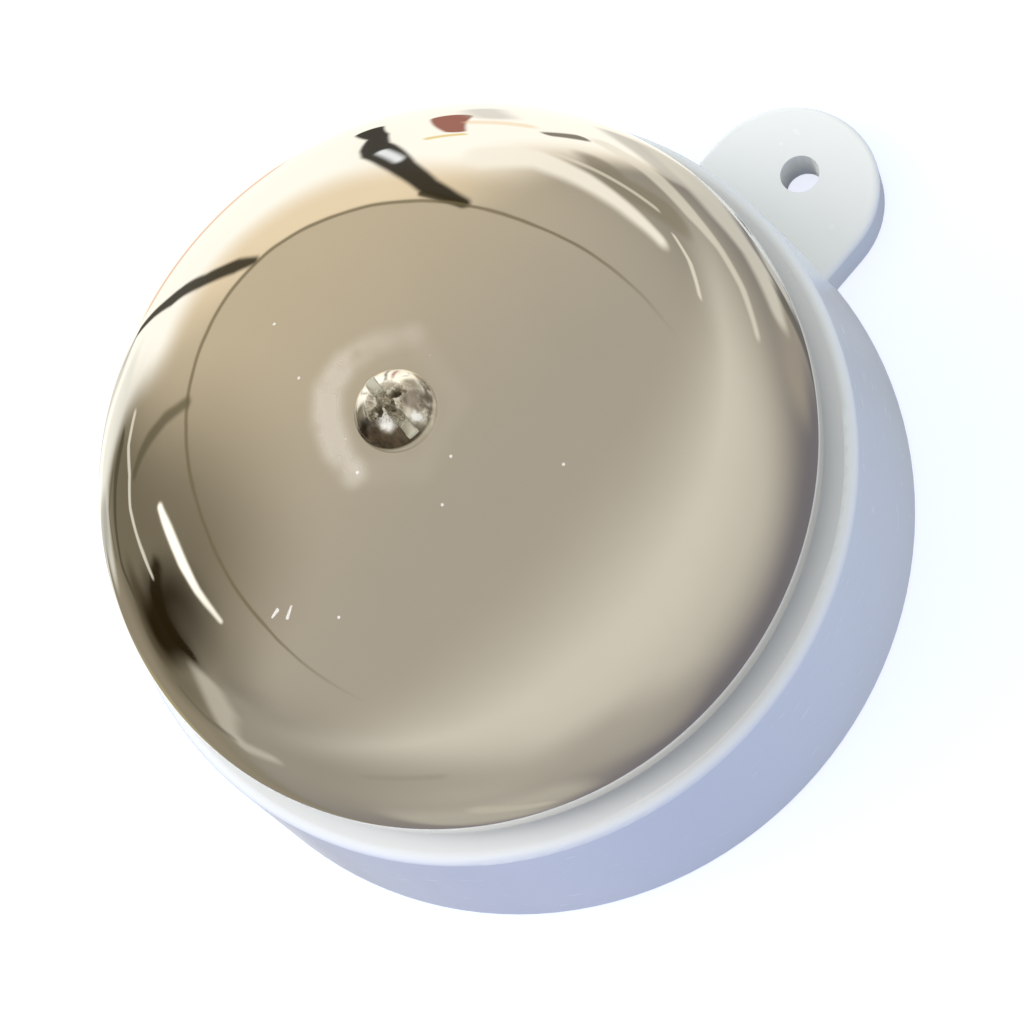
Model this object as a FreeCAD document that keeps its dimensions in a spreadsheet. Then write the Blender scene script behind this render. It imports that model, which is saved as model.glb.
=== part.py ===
import FreeCAD, Part
import math
import os
import Sketcher

# Under-dome electric bell with a trembler mechanism, in millimetres.
# The origin is the centre of the back face, +Z points out of the wall through the gong's screw,
# and +Y points at the fixing lug, which is up when the bell hangs.

# Driving dimensions, each a radius, a thickness or a distance that can be set by itself.
SIZES = {
    # base housing
    "base_radius": 43.6,
    "base_height": 21.7,
    "base_taper": 3.5,
    "base_edge_radius": 1.3,
    "base_wall": 2.2,
    "base_deck_width": 7.1,
    "boss_radius": 3.2,
    "boss_inset": 5.0,
    "lug_thickness": 5.0,
    "lug_end_radius": 10.45,
    "lug_stand": 3.1,
    "lug_hole_radius": 2.2,
    "lug_hole_offset": 2.6,
    "lug_edge_radius": 0.8,
    # base plate
    "plate_thickness": 1.6,
    "plate_edge_gap": 0.7,
    "entry_radius": 4.0,
    "entry_inset": 11.7,
    "fixing_hole_radius": 2.25,
    "fixing_inset": 9.6,
    # gong
    "gong_radius": 37.5,
    "gong_wall": 1.2,
    "gong_rim_gap": 2.9,
    "gong_depth": 18.2,
    "gong_skirt": 2.6,
    "gong_shoulder_radius": 12.2,
    "gong_seat_radius": 4.5,
    "gong_hole_radius": 2.2,
    # gong pillar, its washer and screw
    "pillar_radius": 4.0,
    "pillar_spigot_radius": 2.5,
    "gong_washer_thickness": 0.8,
    "gong_washer_radius": 4.2,
    "gong_screw_radius": 1.95,
    "gong_screw_length": 11.0,
    "gong_screw_head_radius": 4.05,
    "gong_screw_head_height": 2.7,
    "gong_screw_head_edge": 0.9,
    "gong_screw_slot_width": 1.1,
    "gong_screw_slot_depth": 1.0,
    "gong_screw_cross_radius": 2.1,
    "gong_screw_cross_width": 1.0,
    "gong_screw_cross_depth": 1.9,
    # electromagnet
    "coil_foot_gap": 0.7,
    "core_radius": 3.0,
    "coil_left_x": -9.0,
    "coil_right_x": 8.4,
    "pole_face_y": -10.0,
    "pole_stand": 0.6,
    "yoke_inset": 8.7,
    "yoke_thickness": 2.8,
    "yoke_foot_thickness": 2.0,
    "yoke_overhang": 7.2,
    "yoke_rise": 6.2,
    "yoke_foot_length": 15.7,
    "bobbin_flange_radius": 7.3,
    "bobbin_flange_thickness": 1.0,
    "bobbin_wall": 0.8,
    "bobbin_gap": 0.05,
    "winding_radius": 6.8,
    "winding_gap": 0.05,
    "core_screw_head_radius": 2.7,
    "core_screw_head_height": 1.7,
    "core_screw_radius": 1.45,
    "core_screw_depth": 6.0,
    # armature and its springs
    "air_gap": 1.3,
    "armature_thickness": 3.0,
    "armature_width": 8.0,
    "armature_overlap": 2.8,
    "hinge_span": 6.0,
    "leaf_thickness": 0.35,
    "leaf_width": 7.0,
    "leaf_lap": 6.0,
    "post_inset": 8.9,
    "post_width": 5.8,
    "post_depth": 5.2,
    "post_rise": 4.6,
    "clamp_thickness": 1.0,
    "spring_screw_radius": 0.95,
    "spring_screw_head_radius": 1.75,
    "spring_screw_head_height": 1.1,
    "spring_screw_depth": 4.0,
    "spring_screw_pitch": 4.2,
    "rivet_radius": 0.9,
    "rivet_head_radius": 1.5,
    "rivet_head_height": 0.6,
    "rivet_pitch": 4.0,
    "leaf_rivet_inset": 2.8,
    "strip_gap": 3.6,
    "strip_thickness": 0.3,
    "strip_width": 5.0,
    "strip_rivet_inset": 2.4,
    "strip_rivet_land": 2.6,
    "strip_overhang": 2.0,
    "strip_landing": 2.4,
    "strip_rise": 1.4,
    "button_radius": 1.2,
    "button_height": 0.7,
    # hammer
    "rod_radius": 0.9,
    "rod_seat_depth": 6.0,
    "rod_stand": 4.0,
    "rod_bend_radius": 2.6,
    "hammer_lift": 1.4,
    "hammer_radius": 4.0,
    "hammer_gap": 1.05,
    "rod_in_hammer": 4.5,
    # contact bracket, block and screw
    "contact_x": 9.4,
    "contact_gap": 0.1,
    "contact_screw_radius": 1.45,
    "contact_screw_tip_radius": 0.9,
    "contact_screw_tip_length": 1.6,
    "contact_screw_length": 15.6,
    "contact_head_radius": 2.6,
    "contact_head_length": 2.6,
    "contact_nut_radius": 2.9,
    "contact_nut_thickness": 1.8,
    "bracket_thickness": 1.5,
    "bracket_face_y": 3.2,
    "bracket_length": 10.0,
    "bracket_width": 7.6,
    "bracket_rise": 3.6,
    "block_height": 3.4,
    "block_margin": 0.6,
    "bracket_screw_back": 3.2,
    # terminals
    "terminal_y": 24.0,
    "terminal_pitch": 11.0,
    "terminal_block_length": 22.0,
    "terminal_block_depth": 10.0,
    "terminal_block_height": 9.8,
    "terminal_bore_height": 5.4,
    "sleeve_radius": 2.2,
    "sleeve_bore_radius": 1.4,
    "sleeve_length": 8.6,
    "terminal_screw_radius": 1.25,
    "terminal_screw_length": 3.6,
    "terminal_screw_pitch": 4.4,
    "terminal_access_radius": 1.6,
    # fasteners
    "fastener_radius": 1.45,
    "fastener_head_radius": 2.75,
    "fastener_head_height": 1.3,
    "base_screw_length": 7.0,
    "frame_screw_length": 4.4,
    "bracket_screw_length": 4.2,
    "bracket_screw_head_radius": 2.5,
    "bracket_screw_head_height": 1.7,
    "slot_width": 0.7,
    "slot_depth": 0.6,
    "thread_gap": 0.05,
    "seat_gap": 0.05,
    # cable bush
    "bush_bore_radius": 3.0,
    "bush_flange_radius": 5.4,
    "bush_flange_thickness": 1.4,
    # internal wires
    "wire_radius": 0.55,
    "wire_bend_radius": 1.6,
    "link_rise": 1.95,
    "link_inset": 3.7,
    "lead_inset": 4.2,
    "lead_floor_height": 0.9,
    "lead_boss_gap": 2.7,
    "lead_cross_gap": 3.2,
    "contact_lead_offset": 2.4,
    "contact_lead_step": 1.4,
    "contact_lead_turn": 4.2,
    # one overrun serves all cuts
    "overrun": 1.0,
}

BOSS_ANGLES = (30.0, 150.0, 270.0)
ENTRY_ANGLE = 135.0
FIXING_ANGLE = 45.0
HAMMER_ANGLE = -78.5
GONG_SCREW_SLOT_ANGLE = -9.0

# How near two computed places count as one, when an edge is looked up.
SAME_PLACE = 1e-6


class Size:
    """A length: its value in millimetres and the sheet expression that gives it."""

    def __init__(self, value, text):
        self.value = float(value)
        self.text = text

    def joined(self, sign, other, result):
        return Size(result, "(" + self.text + " " + sign + " " + size_of(other).text + ")")

    def __add__(self, other):
        return self.joined("+", other, self.value + size_of(other).value)

    def __sub__(self, other):
        return self.joined("-", other, self.value - size_of(other).value)

    def __mul__(self, other):
        return self.joined("*", other, self.value * size_of(other).value)

    def __truediv__(self, other):
        return self.joined("/", other, self.value / size_of(other).value)

    def __rmul__(self, other):
        return size_of(other) * self

    def __radd__(self, other):
        return size_of(other) + self

    def __rsub__(self, other):
        return size_of(other) - self

    def __neg__(self):
        return 0 - self


def size_of(number):
    """A plain share or zero as a Size, and a Size as itself."""
    if isinstance(number, Size):
        return number
    return Size(number, format(number, ".12g"))


def root(size):
    """The square root of a size."""
    return Size(math.sqrt(size.value), "sqrt(" + size.text + ")")


class Lengths:
    """The named lengths of the sheet, as attributes."""

    def __getattr__(self, name):
        return Size(SIZES[name], "Sizes." + name)


doc = FreeCAD.newDocument("ElectricBell")
sheet = doc.addObject("Spreadsheet::Sheet", "Sizes")
for row, (name, value) in enumerate(SIZES.items(), start=1):
    sheet.set("A" + str(row), name)
    sheet.set("B" + str(row), str(value))
    sheet.setAlias("B" + str(row), name)
doc.recompute()

size = Lengths()
ALONG_Y = FreeCAD.Rotation(FreeCAD.Vector(1, 0, 0), -90)
TOWARDS_MINUS_Y = FreeCAD.Rotation(FreeCAD.Vector(1, 0, 0), 90)
ALONG_X = FreeCAD.Rotation(FreeCAD.Vector(0, 1, 0), 90)
UPRIGHT = FreeCAD.Rotation()
UPSIDE_DOWN = FreeCAD.Rotation(FreeCAD.Vector(1, 0, 0), 180)
sub_parts = []


def place(feature, x=0, y=0, z=0, turn=UPRIGHT):
    """Put a feature at a place given in named sizes, with a fixed turn."""
    places = [size_of(x), size_of(y), size_of(z)]
    feature.Placement = FreeCAD.Placement(FreeCAD.Vector(*[each.value for each in places]), turn)
    for axis, each in zip("xyz", places):
        feature.setExpression("Placement.Base." + axis, each.text)


def new_body(name):
    """An empty body for one sub-part."""
    body = doc.addObject("PartDesign::Body", name)
    body.Label = name
    sub_parts.append(body)
    return body


def new_sketch(body, role="XY_Plane"):
    """A sketch on one of the body's own origin planes."""
    sketch = body.newObject("Sketcher::SketchObject", body.Name + "_sketch")
    plane = [each for each in body.Origin.OriginFeatures if each.Role == role][0]
    sketch.AttachmentSupport = [(plane, "")]
    sketch.MapMode = "FlatFace"
    return sketch


def pin_coordinate(sketch, kind, edge, end, length):
    """Hold one coordinate of an edge's end at a named size, or on the axis where it is zero."""
    if length.text == "0":
        axis = -2 if kind == "DistanceX" else -1
        sketch.addConstraint(Sketcher.Constraint("PointOnObject", edge, end, axis))
        return
    number = sketch.addConstraint(Sketcher.Constraint(kind, -1, 1, edge, end, length.value))
    sketch.setExpression("Constraints[" + str(number) + "]", length.text)


def pin_radius(sketch, edge, length):
    """Hold an arc's or a circle's radius at a named size."""
    number = sketch.addConstraint(Sketcher.Constraint("Radius", edge, length.value))
    sketch.setExpression("Constraints[" + str(number) + "]", length.text)


def draw_outline(sketch, corners):
    """A closed outline through corners (x, y), or (x, y, bend) where an arc arrives at the corner.

    A positive bend is an arc that turns left on its way there, a negative one turns right.
    """
    corners = [[size_of(each) for each in corner] for corner in corners]
    first_edge = sketch.GeometryCount
    ends = []
    for index, corner in enumerate(corners):
        before = FreeCAD.Vector(corners[index - 1][0].value, corners[index - 1][1].value, 0)
        here = FreeCAD.Vector(corner[0].value, corner[1].value, 0)
        if len(corner) == 2:
            sketch.addGeometry(Part.LineSegment(before, here), False)
            ends.append((1, 2))
            continue
        bend = corner[2].value
        chord = here - before
        side = FreeCAD.Vector(-chord.y, chord.x, 0).normalize()
        reach = math.sqrt(max(bend * bend - chord.Length * chord.Length / 4, 0))
        centre = (before + here) / 2 + side * math.copysign(reach, bend)
        start, stop = (before, here) if bend > 0 else (here, before)
        first = math.atan2(start.y - centre.y, start.x - centre.x)
        last = math.atan2(stop.y - centre.y, stop.x - centre.x)
        circle = Part.Circle(centre, FreeCAD.Vector(0, 0, 1), abs(bend))
        sketch.addGeometry(Part.ArcOfCircle(circle, first, last), False)
        ends.append((1, 2) if bend > 0 else (2, 1))
    count = len(corners)
    for index, corner in enumerate(corners):
        edge = first_edge + index
        following = first_edge + (index + 1) % count
        sketch.addConstraint(
            Sketcher.Constraint("Coincident", edge, ends[index][1], following, ends[(index + 1) % count][0])
        )
        pin_coordinate(sketch, "DistanceX", edge, ends[index][1], corner[0])
        pin_coordinate(sketch, "DistanceY", edge, ends[index][1], corner[1])
        if len(corner) == 3:
            magnitude = corner[2] if corner[2].value > 0 else -corner[2]
            pin_radius(sketch, edge, magnitude)


def draw_circle(sketch, x, y, radius):
    """A circle at a place given in named sizes."""
    x, y, radius = size_of(x), size_of(y), size_of(radius)
    centre = FreeCAD.Vector(x.value, y.value, 0)
    edge = sketch.addGeometry(Part.Circle(centre, FreeCAD.Vector(0, 0, 1), radius.value), False)
    pin_coordinate(sketch, "DistanceX", edge, 3, x)
    pin_coordinate(sketch, "DistanceY", edge, 3, y)
    pin_radius(sketch, edge, radius)


def rectangle(left, bottom, right, top):
    """The four corners of an upright rectangle."""
    return [(left, bottom), (right, bottom), (right, top), (left, top)]


def turn_feature(body, kind, corners):
    """Turn an outline in the body's XZ plane about the body's Z axis, adding or cutting."""
    sketch = new_sketch(body, "XZ_Plane")
    draw_outline(sketch, corners)
    feature = body.newObject("PartDesign::" + kind, body.Name + "_turned")
    feature.Profile = sketch
    feature.ReferenceAxis = (sketch, ["V_Axis"])
    feature.Angle = 360
    sketch.Visibility = False
    return feature


def length_feature(body, kind, sketch, length, symmetric=False, reverse=False):
    """Pad or pocket a sketch by a named length."""
    length = size_of(length)
    feature = body.newObject("PartDesign::" + kind, body.Name + "_" + kind.lower())
    feature.Profile = sketch
    feature.Length = length.value
    feature.setExpression("Length", length.text)
    feature.SideType = "Symmetric" if symmetric else "One side"
    feature.Reversed = reverse
    sketch.Visibility = False
    return feature


def lift_sketch(sketch, height):
    """Raise a sketch off its plane by a named size."""
    height = size_of(height)
    sketch.AttachmentOffset = FreeCAD.Placement(FreeCAD.Vector(0, 0, height.value), FreeCAD.Rotation())
    sketch.setExpression("AttachmentOffset.Base.z", height.text)


def must_cut(body, before):
    """Stop if the last cut removed nothing."""
    doc.recompute()
    if body.Shape.Volume >= before * (1 - 1e-9):
        raise ValueError("a cut in " + body.Label + " removed nothing")


def cut_along(body, role, draw, length, height=0, symmetric=False, reverse=False):
    """Pocket what draw(sketch) draws, from a plane raised by height."""
    doc.recompute()
    before = body.Shape.Volume
    sketch = new_sketch(body, role)
    draw(sketch)
    if height != 0:
        lift_sketch(sketch, height)
    feature = length_feature(body, "Pocket", sketch, length, symmetric, reverse)
    must_cut(body, before)
    return feature


def edges_where(shape, test):
    """Names of the edges whose middle point passes a test."""
    names = []
    for number, edge in enumerate(shape.Edges, start=1):
        middle = edge.valueAt((edge.FirstParameter + edge.LastParameter) / 2)
        if test(edge, middle):
            names.append("Edge" + str(number))
    return names


def fillet(body, radius, test):
    """Round the edges of the body's last feature that pass a test."""
    doc.recompute()
    base = body.Tip
    names = edges_where(base.Shape, test)
    if not names:
        raise ValueError("no edge to round on " + body.Label)
    feature = body.newObject("PartDesign::Fillet", body.Name + "_fillet")
    feature.Base = (base, names)
    feature.Radius = radius.value
    feature.setExpression("Radius", radius.text)
    doc.recompute()
    return feature


def turned(name, corners, **where):
    """A sub-part turned about its own Z axis."""
    body = new_body(name)
    turn_feature(body, "Revolution", corners)
    place(body, **where)
    return body


def sheared(name, role, draw, length, symmetric=False, reverse=False, **where):
    """A sub-part cut from plate: what draw(sketch) draws, made as thick as length."""
    body = new_body(name)
    sketch = new_sketch(body, role)
    draw(sketch)
    length_feature(body, "Pad", sketch, length, symmetric, reverse)
    place(body, **where)
    return body


def shape_part(name, shape):
    """A sub-part whose form is neither turned nor cut from plate."""
    feature = doc.addObject("Part::Feature", name)
    feature.Label = name
    feature.Shape = shape
    sub_parts.append(feature)
    return feature


def polar(radius, angle):
    """The x and y of a place on a circle about the origin."""
    return radius * math.cos(math.radians(angle)), radius * math.sin(math.radians(angle))


# Places that several sub-parts share, worked out from the driving dimensions.
plate_top = size.plate_thickness
plate_radius = size.base_radius - size.base_wall - size.plate_edge_gap
lip_radius = size.base_radius - size.base_taper
deck_underside = size.base_height - size.base_wall
boss_circle_radius = size.base_radius - size.base_wall - size.boss_inset
boss_places = [polar(boss_circle_radius, angle) for angle in BOSS_ANGLES]
lug_end_y = size.base_radius + size.lug_stand
entry_x, entry_y = polar(plate_radius - size.entry_inset, ENTRY_ANGLE)
fixing_x, fixing_y = polar(plate_radius - size.fixing_inset, FIXING_ANGLE)

gong_side_centre = size.gong_radius - size.gong_shoulder_radius
gong_fall = size.gong_depth - size.gong_skirt
gong_cap_radius = (gong_side_centre * gong_side_centre + gong_fall * gong_fall
                   - size.gong_shoulder_radius * size.gong_shoulder_radius) \
    / (2 * (gong_fall - size.gong_shoulder_radius))
gong_cap_centre = size.gong_depth - gong_cap_radius
gong_rim_height = size.base_height + size.gong_rim_gap

magnet_height = plate_top + size.yoke_foot_thickness + size.coil_foot_gap + size.bobbin_flange_radius
yoke_back_y = size.yoke_inset - plate_radius
yoke_face_y = yoke_back_y + size.yoke_thickness
yoke_foot_end_y = yoke_face_y + size.yoke_foot_length
core_length = size.pole_face_y - yoke_face_y
bobbin_length = core_length - size.pole_stand
bobbin_tube_radius = size.core_radius + size.bobbin_gap + size.bobbin_wall
coil_pitch = size.coil_right_x - size.coil_left_x
yoke_middle_x = (size.coil_left_x + size.coil_right_x) / 2

armature_front_y = size.pole_face_y + size.air_gap
armature_back_y = armature_front_y + size.armature_thickness
armature_middle_y = armature_front_y + size.armature_thickness / 2
leaf_back_y = armature_back_y + size.leaf_thickness
post_left_x = size.post_inset - plate_radius
post_right_x = post_left_x + size.post_width
post_middle_x = (post_left_x + post_right_x) / 2
post_front_y = armature_back_y - size.post_depth
post_middle_y = (post_front_y + armature_back_y) / 2
armature_left_x = post_right_x + size.hinge_span
armature_right_x = size.coil_right_x + size.core_radius + size.armature_overlap
leaf_rivet_x = armature_left_x + size.leaf_rivet_inset
leaf_end_x = armature_left_x + size.leaf_lap
strip_start_x = leaf_end_x + size.strip_gap
strip_rivet_x = strip_start_x + size.strip_rivet_inset
strip_seat_y = armature_back_y + size.strip_rise + size.strip_thickness
contact_tip_y = strip_seat_y + size.button_height + size.contact_gap

shoulder_reach = size.gong_shoulder_radius - size.gong_wall - size.hammer_radius - size.hammer_gap
hammer_height = gong_rim_height + size.gong_skirt + size.hammer_lift
hammer_circle_radius = gong_side_centre + root(
    shoulder_reach * shoulder_reach - size.hammer_lift * size.hammer_lift)
hammer_x, hammer_y = polar(hammer_circle_radius, HAMMER_ANGLE)

block_top = plate_top + size.block_height
bracket_foot_top = block_top + size.bracket_thickness
bracket_back_y = size.bracket_face_y + size.bracket_thickness
bracket_end_y = size.bracket_face_y + size.bracket_length
bracket_screw_y = bracket_end_y - size.bracket_screw_back
block_width = size.bracket_width + 2 * size.block_margin
block_front_y = size.bracket_face_y - size.block_margin
block_length = size.bracket_length + 2 * size.block_margin
block_screw_y = size.bracket_face_y + size.bracket_screw_back

terminal_bore_z = plate_top + size.terminal_bore_height
terminal_half_pitch = size.terminal_pitch / 2
frame_screw_places = [
    (yoke_middle_x, yoke_face_y + size.yoke_foot_length / 4),
    (yoke_middle_x, yoke_foot_end_y - size.yoke_foot_length / 4),
    (post_middle_x, post_middle_y),
    (size.contact_x, block_screw_y),
    (size_of(0), size.terminal_y),
]
thread_radius = size.fastener_radius + size.thread_gap


def gong_wall_line(inset):
    """The dome's line from rim to screw hole, set in from the outer surface by inset."""
    shoulder = size.gong_shoulder_radius - inset
    cap = gong_cap_radius - inset
    share = size_of(1) / (gong_cap_radius - size.gong_shoulder_radius)
    tangent_r = gong_side_centre * share * cap
    tangent_z = gong_cap_centre + (size.gong_skirt - gong_cap_centre) * share * cap
    seat_z = gong_cap_centre + root(cap * cap - size.gong_seat_radius * size.gong_seat_radius)
    return {
        "rim": (size.gong_radius - inset, size_of(0)),
        "skirt": (size.gong_radius - inset, size.gong_skirt),
        "shoulder": (tangent_r, tangent_z, shoulder),
        "cap": (size.gong_seat_radius, seat_z, cap),
        "hole": (size.gong_hole_radius, seat_z),
    }


gong_outer_line = gong_wall_line(size_of(0))
gong_inner_line = gong_wall_line(size.gong_wall)
gong_seat_height = gong_rim_height + gong_outer_line["hole"][1]
pillar_top = gong_rim_height + gong_inner_line["hole"][1] - size.gong_washer_thickness


def make_gong():
    """Pressed steel dome: straight skirt, round shoulder, shallow cap and a flat seat for its screw."""
    outer = gong_outer_line
    inner = gong_inner_line
    corners = [outer["rim"], outer["skirt"], outer["shoulder"], outer["cap"], outer["hole"]]
    corners += [inner["hole"], inner["cap"][:2]]
    corners += [(inner["shoulder"][0], inner["shoulder"][1], -inner["cap"][2])]
    corners += [(inner["skirt"][0], inner["skirt"][1], -inner["shoulder"][2]), inner["rim"]]
    turned("gong", corners, z=gong_rim_height)


def make_base_housing():
    """Moulded housing open at the back: tapered wall, front deck with a window, bosses and lug."""
    slope = size.base_taper / size.base_height
    inner_top = size.base_radius - size.base_wall - slope * deck_underside
    window_radius = lip_radius - size.base_deck_width
    body = new_body("base_housing")
    turn_feature(body, "Revolution", [
        (size.base_radius, 0),
        (lip_radius, size.base_height),
        (window_radius, size.base_height),
        (window_radius, deck_underside),
        (inner_top, deck_underside),
        (size.base_radius - size.base_wall, 0),
    ])
    lug = new_sketch(body)
    root_radius = size.base_radius - size.base_wall / 2
    root_y = root(root_radius * root_radius - size.lug_end_radius * size.lug_end_radius)
    draw_outline(lug, [
        (size.lug_end_radius, root_y, -root_radius),
        (size.lug_end_radius, lug_end_y),
        (0, lug_end_y + size.lug_end_radius, size.lug_end_radius),
        (-size.lug_end_radius, lug_end_y, size.lug_end_radius),
        (-size.lug_end_radius, root_y),
    ])
    length_feature(body, "Pad", lug, size.lug_thickness)
    fillet(body, size.base_edge_radius, lambda edge, middle: (
        abs(middle.z - size.base_height.value) < SAME_PLACE
        and abs(math.hypot(middle.x, middle.y) - lip_radius.value) < SAME_PLACE))
    fillet(body, size.lug_edge_radius, lambda edge, middle: (
        abs(middle.z - size.lug_thickness.value) < SAME_PLACE
        and middle.y > root_y.value
        and math.hypot(middle.x, middle.y) > size.base_radius.value))
    bosses = new_sketch(body)
    for x, y in boss_places:
        draw_circle(bosses, x, y, size.boss_radius)
    lift_sketch(bosses, plate_top)
    length_feature(body, "Pad", bosses, deck_underside - plate_top)
    cut_along(body, "XY_Plane", draw_boss_holes, size.base_screw_length, plate_top, reverse=True)
    cut_along(body, "XY_Plane", draw_lug_hole, size.lug_thickness + 2 * size.overrun,
              size.lug_thickness + size.overrun)


def draw_boss_holes(sketch):
    for x, y in boss_places:
        draw_circle(sketch, x, y, thread_radius)


def draw_lug_hole(sketch):
    draw_circle(sketch, 0, lug_end_y + size.lug_hole_offset, size.lug_hole_radius)


def make_base_plate():
    """Steel disc that closes the back, with countersunk holes for every screw from behind."""
    body = new_body("base_plate")
    disc = new_sketch(body)
    draw_circle(disc, 0, 0, plate_radius)
    length_feature(body, "Pad", disc, size.plate_thickness)

    def draw_plain_holes(sketch):
        draw_circle(sketch, 0, 0, size.pillar_spigot_radius + size.seat_gap)
        draw_circle(sketch, entry_x, entry_y, size.entry_radius)
        draw_circle(sketch, fixing_x, fixing_y, size.fixing_hole_radius)

    cut_along(body, "XY_Plane", draw_plain_holes, size.plate_thickness + 2 * size.overrun,
              size.plate_thickness + size.overrun)
    doc.recompute()
    before = body.Shape.Volume
    places = new_sketch(body)
    for x, y in boss_places + frame_screw_places:
        draw_circle(places, x, y, thread_radius)
    doc.recompute()
    hole = body.newObject("PartDesign::Hole", "base_plate_countersinks")
    hole.Profile = places
    doc.recompute()
    hole.DepthType = "ThroughAll"
    hole.Reversed = True
    hole.Threaded = False
    hole.setExpression("Diameter", (2 * thread_radius).text)
    hole.HoleCutType = "Countersink"
    hole.HoleCutCustomValues = True
    hole.setExpression("HoleCutDiameter", (2 * (size.fastener_head_radius + size.seat_gap)).text)
    hole.HoleCutCountersinkAngle = 90
    places.Visibility = False
    must_cut(body, before)


def make_pillar():
    """Steel pillar: a spigot staked in the plate, a shoulder on it, and a thread for the gong's screw."""
    thread = size.gong_screw_radius + size.thread_gap
    depth = size.gong_screw_length
    turned("gong_pillar", [
        (0, 0),
        (size.pillar_spigot_radius, 0),
        (size.pillar_spigot_radius, plate_top),
        (size.pillar_radius, plate_top),
        (size.pillar_radius, pillar_top),
        (thread, pillar_top),
        (thread, pillar_top - depth),
        (0, pillar_top - depth),
    ])


def make_gong_washer():
    """Fibre washer between pillar and gong."""
    hole = size.gong_screw_radius + size.thread_gap
    turned("gong_washer", [
        (hole, 0),
        (size.gong_washer_radius, 0),
        (size.gong_washer_radius, size.gong_washer_thickness),
        (hole, size.gong_washer_thickness),
    ], z=pillar_top)


def make_gong_screw():
    """Pan-head screw with a slot and a cross recess in one head."""
    body = new_body("gong_screw")
    head = size.gong_screw_head_height
    edge = size.gong_screw_head_edge
    rise = head - edge
    reach = size.gong_screw_head_radius
    crown = (reach * reach + rise * rise) / (2 * rise)
    shank = size.gong_wall + size.gong_washer_thickness + size.gong_screw_length - size.overrun
    turn_feature(body, "Revolution", [
        (0, -shank),
        (size.gong_screw_radius, -shank),
        (size.gong_screw_radius, 0),
        (reach, 0),
        (reach, edge),
        (0, head, crown),
    ])

    def draw_slot(sketch):
        half = size.gong_screw_slot_width / 2
        end = reach + size.overrun
        draw_outline(sketch, rectangle(-end, -half, end, half))

    def draw_cross(sketch):
        half = size.gong_screw_cross_width / 2
        arm = size.gong_screw_cross_radius
        draw_outline(sketch, [
            (arm, -half), (arm, half), (half, half), (half, arm), (-half, arm), (-half, half),
            (-arm, half), (-arm, -half), (-half, -half), (-half, -arm), (half, -arm), (half, -half),
        ])

    cut_along(body, "XY_Plane", draw_slot, size.gong_screw_slot_depth, head)
    cut_along(body, "XY_Plane", draw_cross, size.gong_screw_cross_depth, head)
    place(body, z=gong_seat_height, turn=FreeCAD.Rotation(FreeCAD.Vector(0, 0, 1), GONG_SCREW_SLOT_ANGLE))


def make_yoke():
    """Steel angle: the upright joins the two cores, the foot lies on the plate."""
    body = new_body("yoke")
    sketch = new_sketch(body, "YZ_Plane")
    foot_top = plate_top + size.yoke_foot_thickness
    top = magnet_height + size.yoke_rise
    draw_outline(sketch, [
        (yoke_back_y, plate_top),
        (yoke_foot_end_y, plate_top),
        (yoke_foot_end_y, foot_top),
        (yoke_face_y, foot_top),
        (yoke_face_y, top),
        (yoke_back_y, top),
    ])
    length_feature(body, "Pad", sketch, coil_pitch + 2 * size.yoke_overhang, symmetric=True)

    def draw_core_holes(sketch):
        for x in (-coil_pitch / 2, coil_pitch / 2):
            draw_circle(sketch, x, magnet_height, size.core_screw_radius + size.thread_gap)

    def draw_foot_holes(sketch):
        for _, y in frame_screw_places[:2]:
            draw_circle(sketch, 0, y, thread_radius)

    cut_along(body, "XZ_Plane", draw_core_holes, size.yoke_thickness + 2 * size.overrun,
              -yoke_back_y + size.overrun)
    cut_along(body, "XY_Plane", draw_foot_holes, size.yoke_foot_thickness + 2 * size.overrun,
              foot_top + size.overrun)
    place(body, x=yoke_middle_x)


def make_coil(side, x):
    """One coil of the magnet: soft iron core, bobbin and winding, lying along Y."""
    bore = size.core_screw_radius + size.thread_gap
    where = {"x": x, "y": yoke_face_y, "z": magnet_height, "turn": ALONG_Y}
    turned("core_" + side, [
        (bore, 0),
        (size.core_radius, 0),
        (size.core_radius, core_length),
        (0, core_length),
        (0, size.core_screw_depth),
        (bore, size.core_screw_depth),
    ], **where)
    inner = size.core_radius + size.bobbin_gap
    flange = size.bobbin_flange_thickness
    turned("bobbin_" + side, [
        (inner, 0),
        (size.bobbin_flange_radius, 0),
        (size.bobbin_flange_radius, flange),
        (bobbin_tube_radius, flange),
        (bobbin_tube_radius, bobbin_length - flange),
        (size.bobbin_flange_radius, bobbin_length - flange),
        (size.bobbin_flange_radius, bobbin_length),
        (inner, bobbin_length),
    ], **where)
    gap = size.winding_gap
    turned("winding_" + side, [
        (bobbin_tube_radius + gap, flange + gap),
        (size.winding_radius, flange + gap),
        (size.winding_radius, bobbin_length - flange - gap),
        (bobbin_tube_radius + gap, bobbin_length - flange - gap),
    ], **where)


def screw_shape(radius, length, head_radius, head_height, countersunk=False):
    """A slotted screw along +Z with the underside of its head, or a countersunk head's face, at zero."""
    values = [each.value for each in (radius, length, head_radius, head_height)]
    radius, length, head_radius, head_height = values
    if countersunk:
        line = [(0, 0), (head_radius, 0), (radius, head_height), (radius, length), (0, length)]
        face = 0
    else:
        line = [(0, -head_height), (head_radius, -head_height), (head_radius, 0), (radius, 0),
                (radius, length), (0, length)]
        face = -head_height
    points = [FreeCAD.Vector(r, 0, z) for r, z in line]
    profile = Part.Face(Part.makePolygon(points + points[:1]))
    solid = profile.revolve(FreeCAD.Vector(), FreeCAD.Vector(0, 0, 1), 360)
    overrun = size.overrun.value
    width = size.slot_width.value
    reach = head_radius + overrun
    corner = FreeCAD.Vector(-reach, -width / 2, face - overrun)
    slot = Part.makeBox(2 * reach, width, size.slot_depth.value + overrun, corner)
    return solid.cut(slot)


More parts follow.
